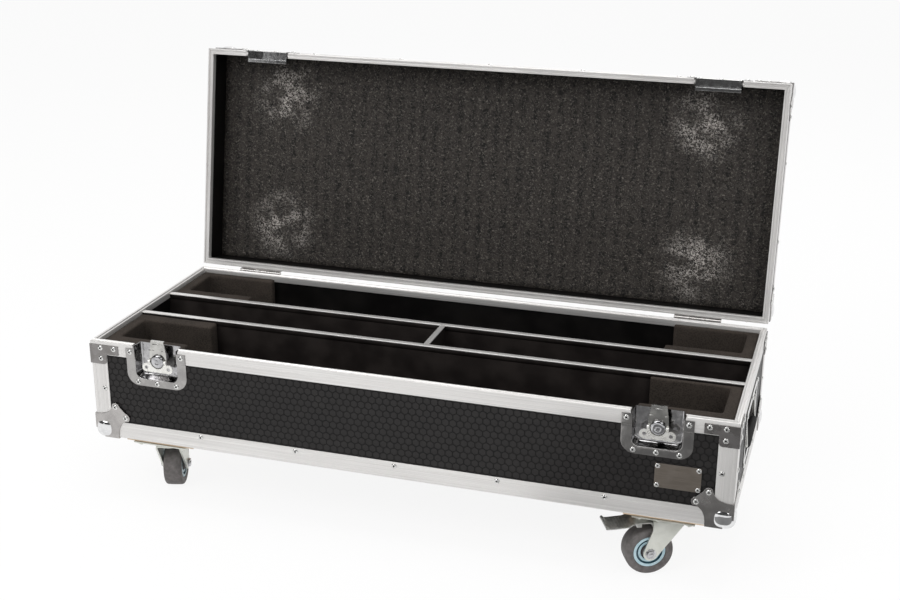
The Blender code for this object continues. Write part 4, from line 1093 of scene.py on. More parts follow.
@dataclass(frozen=True)
class Extrusions:
    """The aluminium edges: bottom and top angles, corner posts and the tongued and grooved rims."""

    outer_round: float = 2.0 * MM
    edge_round: float = 0.5 * MM
    rim_round: float = 0.9 * MM
    tongue_round: float = 0.3 * MM
    post_shift: float = 0.3
    groove: float = 0.3 * MM
    groove_places: tuple[float, ...] = (7.5 * MM, 22.5 * MM)
    tongue_base: float = 4.8 * MM
    tongue_top: float = 2.6 * MM
    tongue_height: float = 2.0 * MM
    tongue_play: float = 0.5 * MM
    end_slope: float = 3.0 * MM
    corner_gap: float = 16.5 * MM

    def angle_section(self) -> list[Point2]:
        """An angle's section, as distances from its outer corner along both legs."""
        leg, sheet = CASE.edge_leg, CASE.sheet
        corners: list[Point3] = [(0, 0, self.outer_round)]
        for middle in self.groove_places:
            corners += [(0, middle - self.groove, 0), (self.groove, middle, 0), (0, middle + self.groove, 0)]
        small = self.edge_round
        corners += [(0, leg, small), (sheet, leg, small), (sheet, sheet, small)]
        corners += [(leg, sheet, small), (leg, 0, small)]
        for middle in reversed(self.groove_places):
            corners += [(middle + self.groove, 0, 0), (middle, self.groove, 0), (middle - self.groove, 0, 0)]
        return filleted(corners)

    def rim_section(self, tray: bool) -> list[Point2]:
        """A rim's section, as (inset from the case's face, height above the tray's rim or the seam)."""
        sheet, width, face, lip = CASE.sheet, CASE.rim_width, CASE.rim_face, CASE.rim_lip
        sign = -1 if tray else 1
        web = sheet if tray else CASE.lid_web
        play = 0 if tray else self.tongue_play
        small = self.edge_round
        middle = width / 2
        base, top = self.tongue_base / 2 + play, self.tongue_top / 2 + play
        rise = self.tongue_height + play
        corners = [
            (0, 0, self.rim_round),
            (0, sign * (face / 2 - self.groove), 0),
            (self.groove, sign * face / 2, 0),
            (0, sign * (face / 2 + self.groove), 0),
            (0, sign * face, small),
            (sheet, sign * face, small),
            (sheet, sign * web, 0),
            (width - sheet, sign * web, 0),
            (width - sheet, sign * lip, small),
            (width, sign * lip, small),
            (width, 0, self.rim_round),
            (middle + base, 0, 0),
            (middle + top, rise, self.tongue_round),
            (middle - top, rise, self.tongue_round),
            (middle - base, 0, 0),
        ]
        return filleted(corners)

    def swept(self, name: str, section: Sequence[Point2], stations: Sequence[tuple]) -> Item:
        """Run a section through stations, mitred where they turn.

        Args:
            name: The object's name.
            section: The section's outline.
            stations: Each one's origin, the vectors of the section's two axes, and its distance along.

        Returns:
            The extrusion, with its distances along and across stored for the finish.
        """
        across, total = [], 0.0
        for index, point in enumerate(section):
            across.append(total)
            total += (Vector(section[(index + 1) % len(section)]) - Vector(point)).length
        points, places = [], []
        for origin, first, second, along in stations:
            for (u, v), reach in zip(section, across):
                points.append(Vector(origin) + Vector(first) * u + Vector(second) * v)
                places.append((along, reach, 0.0))
        count = len(section)
        last = (len(stations) - 1) * count
        faces = []
        for here in range(0, last, count):
            for index in range(count):
                near, far = here + index, here + (index + 1) % count
                faces.append((near, far, far + count, near + count))
        faces += [tuple(range(count)), tuple(range(last, last + count))]
        made = surface(name, points, faces)
        store(made.data, "place", places)
        made.data.shade_smooth()
        made.data.set_sharp_from_angle(angle=SHARP)
        return made

    def corner_station(self, corner: str, height: float, sign_z: int, along: float) -> tuple:
        """A mitred station at one of the case's corners."""
        sign_x, sign_y = CORNERS[corner]
        origin = (sign_x * CASE.half_length, sign_y * CASE.half_width, height)
        return origin, (-sign_x, -sign_y, 0), (0, 0, sign_z), along

    def ring(self, height: float, sign_z: int) -> list[Item]:
        """Four angles round the case, mitred, with their outer corners cut away for the balls."""
        made = []
        walk = (("front_left", "front_right"), ("front_right", "back_right"))
        walk += (("back_right", "back_left"), ("back_left", "front_left"))
        for index, (first, last) in enumerate(walk):
            axis = index % 2
            half = (CASE.half_length, CASE.half_width)[axis]
            stations = [self.corner_station(first, height, sign_z, 0.0)]
            stations.append(self.corner_station(last, height, sign_z, 2 * half))
            side = self.swept("side", self.angle_section(), stations)
            for vertex in side.data.vertices:
                reach = half - self.corner_gap
                vertex.co[axis] = min(reach, max(-reach, vertex.co[axis]))
            made.append(side)
        return made

    def posts(self, name: str, low: float, high: float) -> Item:
        """Four corner posts between two heights."""
        made = []
        for corner, (sign_x, sign_y) in CORNERS.items():
            spot = (sign_x * CASE.half_length, sign_y * CASE.half_width)
            start = sign_x * self.post_shift
            across = ((-sign_x, 0, 0), (0, -sign_y, 0))
            stations = [((*spot, level), *across, level - low + start) for level in (low, high)]
            made.append(self.swept(f"post_{corner}", self.angle_section(), stations))
        return self.gathered(name, made)

    def long_rim(self, name: str, tray: bool) -> Item:
        """The rim from one latch round the back to the other, its ends sloped at the top."""
        height = CASE.rim_top if tray else CASE.seam
        reach = CASE.latch_x + CASE.latch_cut
        length, width = 2 * CASE.half_length, 2 * CASE.half_width
        start, end = (-reach, CASE.front, height), (reach, CASE.front, height)
        lead = CASE.half_length - reach
        stations = [
            (start, (0, 1, 0), (0, 0, 1), 0.0),
            self.corner_station("front_left", height, 1, lead),
            self.corner_station("back_left", height, 1, lead + width),
            self.corner_station("back_right", height, 1, lead + width + length),
            self.corner_station("front_right", height, 1, lead + 2 * width + length),
            (end, (0, 1, 0), (0, 0, 1), 2 * lead + 2 * width + length),
        ]
        made = self.swept(name, self.rim_section(tray), stations)
        self.slope_ends(made, height, reach, 1)
        return made

    def short_rim(self, name: str, tray: bool) -> Item:
        """The rim between the latches."""
        height = CASE.rim_top if tray else CASE.seam
        reach = CASE.latch_x - CASE.latch_cut
        stations = [((x, CASE.front, height), (0, 1, 0), (0, 0, 1), x + reach) for x in (-reach, reach)]
        made = self.swept(name, self.rim_section(tray), stations)
        self.slope_ends(made, height, reach, -1)
        return made

    def slope_ends(self, item: Item, height: float, reach: float, sign: int) -> None:
        """Draw the rim's cut ends back towards its mating face."""
        for vertex in item.data.vertices:
            if abs(abs(vertex.co.x) - reach) > 1e-5 or vertex.co.y > CASE.front + CASE.rim_width + MM:
                continue
            rise = self.end_slope - abs(vertex.co.z - height)
            if rise > 0:
                vertex.co.x += sign * math.copysign(rise, vertex.co.x)

    def gathered(self, name: str, items: Sequence[Item]) -> Item:
        """Join extrusions into one object and keep their stored distances."""
        places = [tuple(value.vector) for item in items for value in item.data.attributes["place"].data]
        for item in items:
            item.data.attributes.remove(item.data.attributes["place"])
        made = merged(name, items)
        store(made.data, "place", places)
        made.data.set_sharp_from_angle(angle=SHARP)
        return made

    def build(self) -> None:
        """Build the tray's extrusions and the lid's."""
        leg, face = CASE.edge_leg, CASE.rim_face
        halves = (
            ("tray", CASE.base, 1, (CASE.base + leg, CASE.rim_top - face), IDENTITY),
            ("lid", CASE.lid_top, -1, (CASE.seam + face, CASE.lid_top - leg), CASE.lid_place),
        )
        for body, height, sign_z, span, place in halves:
            posts, rim = self.posts("posts", *span), self.long_rim("rim", body == "tray")
            whole = self.gathered("whole", [*self.ring(height, sign_z), posts, rim])
            settle(whole, f"{body}_extrusions", body, [EXTRUSION], place, [f"{body}_frame"])
            piece = self.short_rim("bar", body == "tray")
            settle(piece, f"{body}_rim_bar", body, [EXTRUSION], place, [f"{body}_rim_front"])


# Panels


@dataclass(frozen=True)
class HoneycombPanels:
    """The embossed cells on every outside panel, 12.5 mm apart in staggered rows."""

    pitch: float = 12.5 * MM
    joint: float = 1.5 * MM
    bevel: float = 0.5 * MM
    relief: float = 0.25 * MM
    tuck: float = 5 * MM

    def field(
        self,
        spans: tuple[Point2, Point2],
        at: Callable[[float, float], Point3],
        facing: Point3,
        upward: Point3,
        windows: Windows = (),
    ) -> Spots:
        """Spots for the cells of one panel.

        Args:
            spans: The panel's extent along and up.
            at: Takes a place along and up to the case's frame.
            facing: The way the panel faces.
            upward: The way that is up on it.
            windows: Openings in the panel, as extents along and up.

        Returns:
            The spots.
        """
        spots = []
        rise = self.pitch * math.sqrt(3) / 2
        (low_u, high_u), (low_v, high_v) = spans
        middle_u, middle_v = (low_u + high_u) / 2, (low_v + high_v) / 2
        columns = int((high_u - low_u) / self.pitch / 2) + 1
        rows = int((high_v - low_v) / rise / 2) + 1
        for row in range(-rows, rows + 1):
            for column in range(-columns, columns + 1):
                u = middle_u + (column + (row % 2) / 2) * self.pitch
                v = middle_v + row * rise
                if not (low_u <= u <= high_u and low_v <= v <= high_v):
                    continue
                if any(a[0] < u < a[1] and b[0] < v < b[1] for a, b in windows):
                    continue
                spots.append((at(u, v), facing, upward))
        return spots

    @property
    def reach(self) -> Point2:
        """How far the cells run from a panel's middle, along X and along Y."""
        long = CASE.half_length - CASE.edge_leg + self.tuck
        return long, CASE.half_width - CASE.edge_leg + self.tuck

    def windows(self, low: float, high: float) -> Windows:
        """The latch pans' openings in a front panel."""
        half = CASE.latch_cut + self.pitch / 2
        return [((sign * CASE.latch_x - half, sign * CASE.latch_x + half), (low, high)) for sign in (-1, 1)]

    def tree(self, name: str) -> RepeatTree:
        """The tree that sets the cells."""
        sizes = {"Cell width": self.pitch - self.joint, "Bevel": self.bevel, "Relief": self.relief}
        return RepeatTree(name, sizes, hexagon_cell, HONEYCOMB)

    def walls(self, low: float, high: float, front_windows: Windows, side_windows: Windows) -> Spots:
        """Spots for the four walls between two heights."""
        reach_x, reach_y = self.reach
        face_x, face_y = CASE.half_length - CASE.panel_inset, CASE.half_width - CASE.panel_inset
        heights, up = (low - self.tuck, high + self.tuck), (0, 0, 1)
        long, short = ((-reach_x, reach_x), heights), ((-reach_y, reach_y), heights)
        spots = self.field(long, lambda u, v: (u, -face_y, v), (0, -1, 0), up, front_windows)
        spots += self.field(long, lambda u, v: (u, face_y, v), (0, 1, 0), up)
        spots += self.field(short, lambda u, v: (-face_x, u, v), (-1, 0, 0), up, side_windows)
        spots += self.field(short, lambda u, v: (face_x, u, v), (1, 0, 0), up, side_windows)
        return spots

    def build(self) -> None:
        """Build the tray's cells and the lid's, and dress the shells."""
        low, high = CASE.base + CASE.edge_leg, CASE.rim_top - CASE.rim_face
        half = self.pitch / 2
        half_y, half_z = HANDLES.pan_half_length + half, HANDLES.pan_half_height + half
        side_windows = [((-half_y, half_y), (HANDLES.height - half_z, HANDLES.height + half_z))]
        front_windows = self.windows(LATCHES.pan_bottom - half, CASE.rim_top)
        spots = self.walls(low, high, front_windows, side_windows)
        made = self.tree("tray_cells").spread("tray_cells", spots)
        settle(made, "tray_honeycomb", "tray", [HONEYCOMB])
        low, high = CASE.seam + CASE.rim_face, CASE.lid_top - CASE.edge_leg
        front_windows = self.windows(CASE.seam, CASE.seam + LATCHES.keeper_pan + half)
        spots = self.walls(low, high, front_windows, ())
        reach_x, reach_y = self.reach
        level = CASE.lid_top - CASE.panel_inset
        top = ((-reach_x, reach_x), (-reach_y, reach_y))
        spots += self.field(top, lambda u, v: (u, v, level), (0, 0, 1), (0, 1, 0))
        made = self.tree("lid_cells").spread("lid_cells", spots)
        settle(made, "lid_honeycomb", "lid", [HONEYCOMB], CASE.lid_place)
        for node in ("tray_shell", "lid_shell"):
            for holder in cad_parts[node].material_slots:
                holder.material = FILM.material()


# Ball corners and braces


@dataclass(frozen=True)
class BallCorners:
    """Pressed ball corners: a polished ball, three lobed flanges and the soft shoulders between them."""

    radius: float = 19.5 * MM
    inset: float = 14.6 * MM
    fullness: float = 2.6
    reach: float = 42.5 * MM
    shoulder: float = 31 * MM
    far: float = 57.5 * MM
    near: float = 39 * MM
    lobe: float = 8 * MM
    voxel: float = 0.5 * MM
    rings: int = 40
    skin: float = 0.25 * MM

    def flange(self, axis: str) -> Item:
        """One flange, as inward distances from the case's corner."""
        out = CASE.fitting_out
        lobe = arc((self.far, self.near), self.lobe, -50, 80, 10)
        knee = Vector((self.reach, self.shoulder))
        curve = bend(Vector((self.reach, 0)), knee, Vector(lobe[0]), 12)[:-1]
        half = [(self.reach, -out), *curve, *lobe]
        outline = [(-out, -out), *half, *[(v, u) for u, v in reversed(half)]]
        return prism(f"flange_{axis}", outline, axis, -out, -CASE.fit)

    def ball(self, name: str, radius: float, rings: int) -> Item:
        """The ball without what lies inside the case, as inward distances from the case's corner."""
        profile = arc((0, 0), radius, -90, 90, rings)
        profile[0], profile[-1] = (0, -radius), (0, radius)
        whole = turned(name, profile, 2 * rings)
        for vertex in whole.data.vertices:
            facing = vertex.co.normalized()
            spread = sum(abs(part) ** self.fullness for part in facing)
            vertex.co = facing * (radius / spread ** (1 / self.fullness))
        whole.data.transform(Matrix.Translation((self.inset,) * 3))
        far = self.inset + radius + MM
        return cut(whole, block("inside", (CASE.sheet,) * 3, (far,) * 3))

    def corner(self) -> Item:
        """The whole pressing, with its polished ball laid over the flanges."""
        near = -CASE.fitting_out - MM
        corner, inside = (near,) * 3, (self.inset,) * 3
        flanges = [cut(self.flange(axis), block("notch", corner, inside)) for axis in "XYZ"]
        made = merged("corner", [self.ball("core", self.radius - self.skin, 24), *flanges])
        remesh = made.modifiers.new("one skin", "REMESH")
        remesh.mode = "VOXEL"
        remesh.voxel_size = self.voxel
        smooth = made.modifiers.new("press", "SMOOTH")
        smooth.factor = 0.5
        smooth.iterations = 3
        thin = made.modifiers.new("thin", "DECIMATE")
        thin.ratio = 0.16
        made = applied(made)
        made.data.shade_smooth()
        ball = self.ball("ball", self.radius, self.rings)
        for face in ball.data.polygons:
            face.material_index = 1
        ball.data.shade_smooth()
        ball.data.set_sharp_from_angle(angle=SHARP)
        return merged("corner", [made, ball])

    def spots(self, sign_z: int) -> Spots:
        """The rivets of the four corners of the tray, or of the shut lid."""
        height = CASE.base if sign_z > 0 else CASE.lid_top
        found = []
        for sign_x, sign_y in CORNERS.values():
            place = CASE.corner(sign_x, sign_y, height, sign_z)
            for pair in ((self.far, self.near), (self.near, self.far)):
                for axis in range(3):
                    at = Vector((*pair[:axis], -CASE.fitting_out, *pair[axis:]))
                    facing = Vector((0, 0, 0))
                    facing[axis] = -1
                    found.append((place @ at, place.to_3x3() @ facing))
        return found

    def build(self) -> None:
        """Set a corner at each of the case's eight."""
        corner, looks = self.corner(), [CORNER_ZINC, BALL_POLISH]
        halves = (("tray", CASE.base, 1, IDENTITY), ("lid", CASE.lid_top, -1, CASE.lid_place))
        for name, (sign_x, sign_y) in CORNERS.items():
            for body, height, sign_z, place in halves:
                made = mirrored(corner, "copy", CASE.corner(sign_x, sign_y, height, sign_z))
                node = f"{body}_ball_corner_{name}"
                settle(made, f"{node}_pressing", body, looks, place, [node])
        discard(corner)


@dataclass(frozen=True)
class Braces:
    """Angle braces between the rim and the posts, bent round each corner."""

    top_row: float = 11.5 * MM
    low_row: float = 30.5 * MM
    near: float = 19.5 * MM
    far: float = 44.5 * MM

    def spots(self) -> Spots:
        """The braces' rivets."""
        found = []
        out = CASE.fitting_out
        rows = ((self.near, self.top_row), (self.far, self.top_row), (self.near, self.low_row))
        for sign_x, sign_y in CORNERS.values():
            face_x, face_y = sign_x * (CASE.half_length + out), sign_y * (CASE.half_width + out)
            for inset, drop in rows:
                z = CASE.rim_top - drop
                found.append(((sign_x * (CASE.half_length - inset), face_y, z), (0, sign_y, 0)))
                found.append(((face_x, sign_y * (CASE.half_width - inset), z), (sign_x, 0, 0)))
        return found

    def build(self) -> None:
        """Round the edges of the four braces."""
        for name in CORNERS:
            dressed_copy(f"tray_brace_{name}", "pressing", "tray", BRACE_ZINC, 0.5 * MM)


# Latches


@dataclass(frozen=True)
class Latches:
    """Recessed butterfly latches: dish, hub, wing and hook in the tray, and keepers in the lid."""

    dish_half: float = 56 * MM
    dish_height: float = 72.5 * MM
    dish_round: float = 22 * MM
    dish_wall: float = 0.9 * MM
    pan_round: float = 12 * MM
    hub_drop: float = 26.5 * MM
    ear_sweep: float = math.hypot(20.5, 12.0) * MM + 8 * MM
    sweep_play: float = 0.8 * MM
    keeper_pan: float = 33 * MM
    hook_top: float = 8.8 * MM
    hook_face: float = 8.2 * MM
    pin_depth: float = 5 * MM
    pin_half: float = 16.8 * MM
    pin_radius: float = 1.4 * MM
    joggle: float = 1.2 * MM
    plain: float = 4 * MM
    tab_x: float = 48 * MM
    tab_drop: float = 12.5 * MM
    keeper_tab_rise: float = 13.8 * MM
    low_x: float = 36 * MM
    low_row: float = 66 * MM
    keeper_low_row: float = 39.9 * MM
    turn_in: tuple[Point2, ...] = (
        (0.0, 0.75),
        (0.006, 0.28),
        (0.022, 0.06),
        (0.05, 0.0),
        (0.5, 0.0),
        (0.93, 0.0),
        (0.965, 0.1),
        (0.99, 0.45),
    )
    pan_steps: tuple[Point2, ...] = ((0.0, 2.2), (1.0, 17.0), (1.6, 18.8), (2.8, 19.7), (4.2, 20.0))
    hub_profile: tuple[Point2, ...] = (
        (0, 2.75),
        (2.2, 2.7),
        (2.9, 2.9),
        (3.3, 3.2),
        (4.1, 3.2),
        (4.6, 2.75),
        (7.0, 2.6),
        (9.3, 2.95),
        (10.9, 3.7),
        (11.8, 4.7),
        (12.0, 5.6),
        (11.7, 6.4),
        (6.0, 6.4),
        (6.0, 19.7),
        (0, 19.7),
    )

    @property
    def hub_z(self) -> float:
        """The height of the hub's axis."""
        return CASE.rim_top - self.hub_drop

    @property
    def pan_bottom(self) -> float:
        """The height of the pan's lowest inside face."""
        return self.hub_z - self.ear_sweep - self.sweep_play

    @property
    def step_z(self) -> float:
        """The height at which the flange climbs from the panel onto the rim."""
        return CASE.rim_top - CASE.rim_face - CASE.fit

    def tub(self, half: float, bottom: float, top: float, radius: float) -> list[Point2]:
        """An upright U: down the left, round the bottom and up the right, with rows at the joggle."""
        steps = (self.plain, self.joggle / 2, self.joggle / 4)
        rows = [top, *(self.step_z + step for step in (*steps, 0, *(-step for step in reversed(steps))))]
        left = [(-half, row) for row in rows]
        right = [(half, row) for row in reversed(rows)]
        bend_left = arc((-half + radius, bottom + radius), radius, 180, 270, 10)
        bend_right = arc((half - radius, bottom + radius), radius, 270, 360, 10)
        return left + bend_left + bend_right + right

    def loops(self) -> list[list[Point3]]:
        """The dish's loops, from the flange's edge over its joggle to the bottom of the pan."""
        tab_top = CASE.rim_top - CASE.brace_drop
        outer = self.tub(self.dish_half, CASE.rim_top - self.dish_height, tab_top, self.dish_round)
        mouth = self.tub(CASE.pan_half, self.pan_bottom, tab_top, self.pan_round)
        panel_y = CASE.front + CASE.panel_inset - CASE.fitting_out
        rim_y = CASE.front - CASE.fitting_out
        found = []
        for share, depth in self.turn_in:
            loop = []
            for (u, v), (a, b) in zip(outer, mouth):
                x, z = u + (a - u) * share, v + (b - v) * share
                climb = min(1.0, max(0.0, (z - self.step_z) / self.joggle + 0.5))
                y = panel_y + (rim_y - panel_y) * climb * climb * (3 - 2 * climb) + depth * MM
                tab_end = share > 0.95 and z > tab_top - 0.1 * MM
                loop.append((x, y, CASE.rim_top if tab_end else z))
            found.append(loop)
        for step, down in self.pan_steps:
            inward = step * MM
            half, bottom, radius = CASE.pan_half - inward, self.pan_bottom + inward, self.pan_round - inward
            line = self.tub(half, bottom, CASE.rim_top, radius)
            found.append([(x, CASE.front + down * MM, z) for x, z in line])
        return found

    def dish(self) -> Item:
        """The dish about its own middle: a flange joggled onto the rim, and the pan drawn in from it."""
        loops = self.loops()
        count = len(loops[0])
        faces = []
        for row in range(len(loops) - 1):
            here, onward = row * count, (row + 1) * count
            faces += [(here + i, here + i + 1, onward + i + 1, onward + i) for i in range(count - 1)]
        last = (len(loops) - 1) * count
        faces.append(tuple(range(last, last + count)))
        mesh = bpy.data.meshes.new("dish")
        mesh.from_pydata([point for loop in loops for point in loop], [], faces)
        made = as_object("dish", mesh)
        if mesh.polygons[4 * (count - 1)].normal.y > 0:
            mesh.flip_normals()
        wall = made.modifiers.new("wall", "SOLIDIFY")
        wall.thickness = self.dish_wall
        wall.offset = -1
        made.data.shade_smooth()
        made = applied(made)
        made.data.set_sharp_from_angle(angle=math.radians(50))
        for face in made.data.polygons:
            face.material_index = int(face.center.y > CASE.front + CASE.fitting)
        return made

    def hub(self) -> Item:
        """The hub about its axis, facing -Y: a domed cap with a pin through it."""
        cap = turned("hub", [(r * MM, y * MM) for r, y in self.hub_profile], 48)
        cap.data.transform(Matrix.Rotation(math.radians(-90), 4, "X"))
        ends = [(sign * self.pin_half, self.pin_depth, 0) for sign in (-1, 1)]
        return merged("hub", [cap, bar("pin", ends, self.pin_radius)])

    def hook_ribs(self) -> Item:
        """Beads pressed across the hook plate: a long one below its lip and two short ones lower down."""
        ribs = []
        y = CASE.front + self.hook_face
        for start, end, drop in ((-9.0, 9.0, 5.5), (-16.6, -6.2, 17.0), (8.2, 14.6, 17.0)):
            z = CASE.seam + self.hook_top - drop * MM
            ribs.append(bar("rib", [(start * MM, y, z), (end * MM, y, z)], 0.7 * MM, 12))
        return merged("ribs", ribs)

    def rivets(self, tab_z: float, low_z: float) -> Spots:
        """The rivets of both sides' dishes or keepers.

        Args:
            tab_z: The height of the two in the tabs.
            low_z: The height of the row of three on the panel.

        Returns:
            Each one's place and the way it faces.
        """
        rim_y = CASE.front - CASE.fitting_out
        panel_y = rim_y + CASE.panel_inset
        rows = (((-1, 1), self.tab_x, rim_y, tab_z), ((-1, 0, 1), self.low_x, panel_y, low_z))
        return [
            ((sign * CASE.latch_x + side * reach, y, z), (0, -1, 0))
            for sign in SIDES.values()
            for sides, reach, y, z in rows
            for side in sides
        ]

    def spots(self) -> Spots:
        """The dishes' rivets, in the case's frame."""
        return self.rivets(CASE.rim_top - self.tab_drop, CASE.rim_top - self.low_row)

    def keeper_spots(self) -> Spots:
        """The keepers' rivets, in the shut lid's frame."""
        return self.rivets(CASE.seam + self.keeper_tab_rise, CASE.seam + self.keeper_low_row)

    def build(self) -> None:
        """Build both latches and both keepers."""
        dish = self.dish()
        for side, sign in SIDES.items():
            middle = Matrix.Translation((sign * CASE.latch_x, 0, 0))
            node = f"latch_dish_{side}"
            copy = mirrored(dish, node, IDENTITY)
            settle(copy, f"{node}_pressing", "tray", [DISH_ZINC, PAN_ZINC], middle, [node])
            node = f"latch_cam_{side}"
            axis = Matrix.Translation((sign * CASE.latch_x, CASE.front, self.hub_z))
            settle(self.hub(), f"{node}_hub", f"latch_cam_body_{side}", [CHROME], axis, [node])
            node, body = f"latch_wing_{side}", f"latch_wing_body_{side}"
            dressed_copy(node, "casting", body, WING_ZINC, 0.6 * MM)
            node, body = f"latch_hook_{side}", f"latch_hook_body_{side}"
            dressed_copy(node, "plate", body, HOOK_ZINC, 0.5 * MM)
            settle(self.hook_ribs(), f"{node}_ribs", body, [HOOK_ZINC], middle)
            node = f"lid_keeper_{side}"
            dressed_copy(node, "pressing", "lid", KEEPER_CHROME, 0.45 * MM, 2, CASE.lid_place)
        discard(dish)


LATCHES = Latches()


# Handles


@dataclass(frozen=True)
class Handles:
    """Recessed side handles: a pressed dish, a steel bail and a ribbed rubber grip."""

    height: float = 88 * MM
    pan_half_length: float = 72 * MM
    pan_half_height: float = 36 * MM
    flange: float = 14 * MM
    pivot_rise: float = 22 * MM
    pivot_depth: float = 3.6 * MM
    drop: float = 40 * MM
    stub: float = 70.7 * MM
    bail_half: float = 60 * MM
    bend: float = 4 * MM
    bail_radius: float = 3 * MM
    grip_radius: float = 6.1 * MM
    grip_half: float = 54 * MM
    ribs: int = 26
    rib_radius: float = 0.45 * MM

    def path(self) -> list[Vector]:
        """The bail's centre line about the right-hand pivot."""
        hang = Vector((self.pivot_depth - CASE.fit, 0, -self.drop))
        half = [(self.stub, 0.0), *arc((self.bail_half + self.bend, self.bend), self.bend, 270, 180, 6)]
        half += arc((self.bail_half - self.bend, hang.length - self.bend), self.bend, 0, 90, 6)
        whole = half + [(-y, down) for y, down in reversed(half)]
        return [Vector((0, y, 0)) + hang.normalized() * down for y, down in whole]

    def grip(self) -> Item:
        """The rubber sleeve about the right-hand pivot, with the ribs that run round it."""
        x, z = self.pivot_depth - CASE.fit, -self.drop
        small = 1.5 * MM
        end = self.grip_half
        profile = [(0, -end), (self.grip_radius - small, -end), (self.grip_radius, -end + small)]
        profile += [(self.grip_radius, end - small), (self.grip_radius - small, end), (0, end)]
        sleeve = turned("sleeve", profile, 32)
        sleeve.data.transform(Matrix.Translation((x, 0, z)) @ Matrix.Rotation(math.radians(90), 4, "X"))
        reach = end - 4 * MM
        spots = []
        for index in range(self.ribs):
            y = -reach + 2 * reach * index / (self.ribs - 1)
            spots.append(((x, y, z), (0, 1, 0), (0, 0, 1)))
        sizes = {"Ring radius": self.grip_radius, "Rib radius": self.rib_radius}
        rings = RepeatTree("grip_ribs", sizes, rib_ring, GRIP_RUBBER).spread("grip_ribs", spots)
        return merged("grip", [sleeve, rings])

    def spots(self) -> Spots:
        """The dishes' rivets."""
        found = []
        half_y = self.pan_half_length + self.flange / 2
        half_z = self.pan_half_height + self.flange / 2
        face = CASE.half_length - CASE.panel_inset + CASE.fitting_out
        for sign in SIDES.values():
            for y in (-half_y, 0.0, half_y):
                for z in (-half_z, half_z):
                    found.append(((sign * face, y, self.height + z), (sign, 0, 0)))
        return found

    def build(self) -> None:
        """Build both handles."""
        for side, sign in SIDES.items():
            dressed_copy(f"handle_dish_{side}", "pressing", "tray", DISH_ZINC, 0.5 * MM)
            pivot = (sign * (CASE.half_length - self.pivot_depth), 0, self.height + self.pivot_rise)
            place = Matrix.Translation(pivot) @ Matrix.Diagonal((sign, 1, 1, 1))
            body, node = f"handle_body_{side}", f"handle_grip_{side}"
            steel = bar("bail", self.path(), self.bail_radius)
            settle(steel, f"handle_bail_{side}", body, [HOOK_ZINC], place, [node])
            settle(self.grip(), f"handle_sleeve_{side}", body, [GRIP_RUBBER], place)


HANDLES = Handles()


# Inside


@dataclass(frozen=True)
class Dividers:
    """Two long dividers and a cross one: film-faced boards under bright aluminium caps."""

    front_y: float = -46 * MM
    back_y: float = 58 * MM
    drop: float = 2.5 * MM
    edge: float = 0.3 * MM
    cap_half: float = 5 * MM
    cap_height: float = 2.0 * MM
    cap_round: float = 1.1 * MM
    wall: float = 1.2 * MM

    def cap(self, start: Vector, end: Vector) -> Item:
        """A channel cap between two points on the middle of its top."""
        out, inside, low = self.cap_half, self.cap_half - self.wall, -self.cap_height
        half = [(inside, -self.wall, 0), (inside, low, self.edge)]
        half += [(out, low, self.edge), (out, 0, self.cap_round)]
        section = filleted([(-u, v, radius) for u, v, radius in reversed(half)] + half)
        along = end - start
        side = Vector((0, 0, 1)).cross(along.normalized())
        stations = [(start, side, (0, 0, 1), 0.0), (end, side, (0, 0, 1), along.length)]
        return Extrusions().swept("cap", section, stations)

    def fit_in(self, name: str, board: Item, start: Point3, end: Point3) -> None:
        """Settle a divider's board, and a cap between two points."""
        node = f"divider_{name}"
        settle(board, f"{node}_board", "tray", [INNER_FILM], stands_for=[node])
        settle(self.cap(Vector(start), Vector(end)), f"{node}_cap", "tray", [EXTRUSION])

    def build(self) -> None:
        """Build the three dividers."""
        top = CASE.rim_top - self.drop
        cap_end = CASE.half_length - CASE.rim_width - CASE.fit
        board_end = CASE.half_length - CASE.inner_inset - CASE.fit
        board_top = CASE.rim_top - CASE.rim_lip - CASE.fit
        half, floor = CASE.ply / 2, CASE.ply + CASE.fit
        for name, y in (("front", self.front_y), ("back", self.back_y)):
            near, far = y - half, y + half
            main = rounded(block("main", (-board_end, near, floor), (board_end, far, board_top)), self.edge)
            crest = block("crest", (-cap_end, near, board_top - MM), (cap_end, far, top - self.wall))
            self.fit_in(name, merged("board", [main, crest]), (-cap_end, y, top), (cap_end, y, top))
        near = self.front_y + self.cap_half + CASE.fit
        far = self.back_y - self.cap_half - CASE.fit
        board = rounded(block("board", (-half, near, floor), (half, far, top - self.wall)), self.edge)
        self.fit_in("cross", board, (0, near, top), (0, far, top))


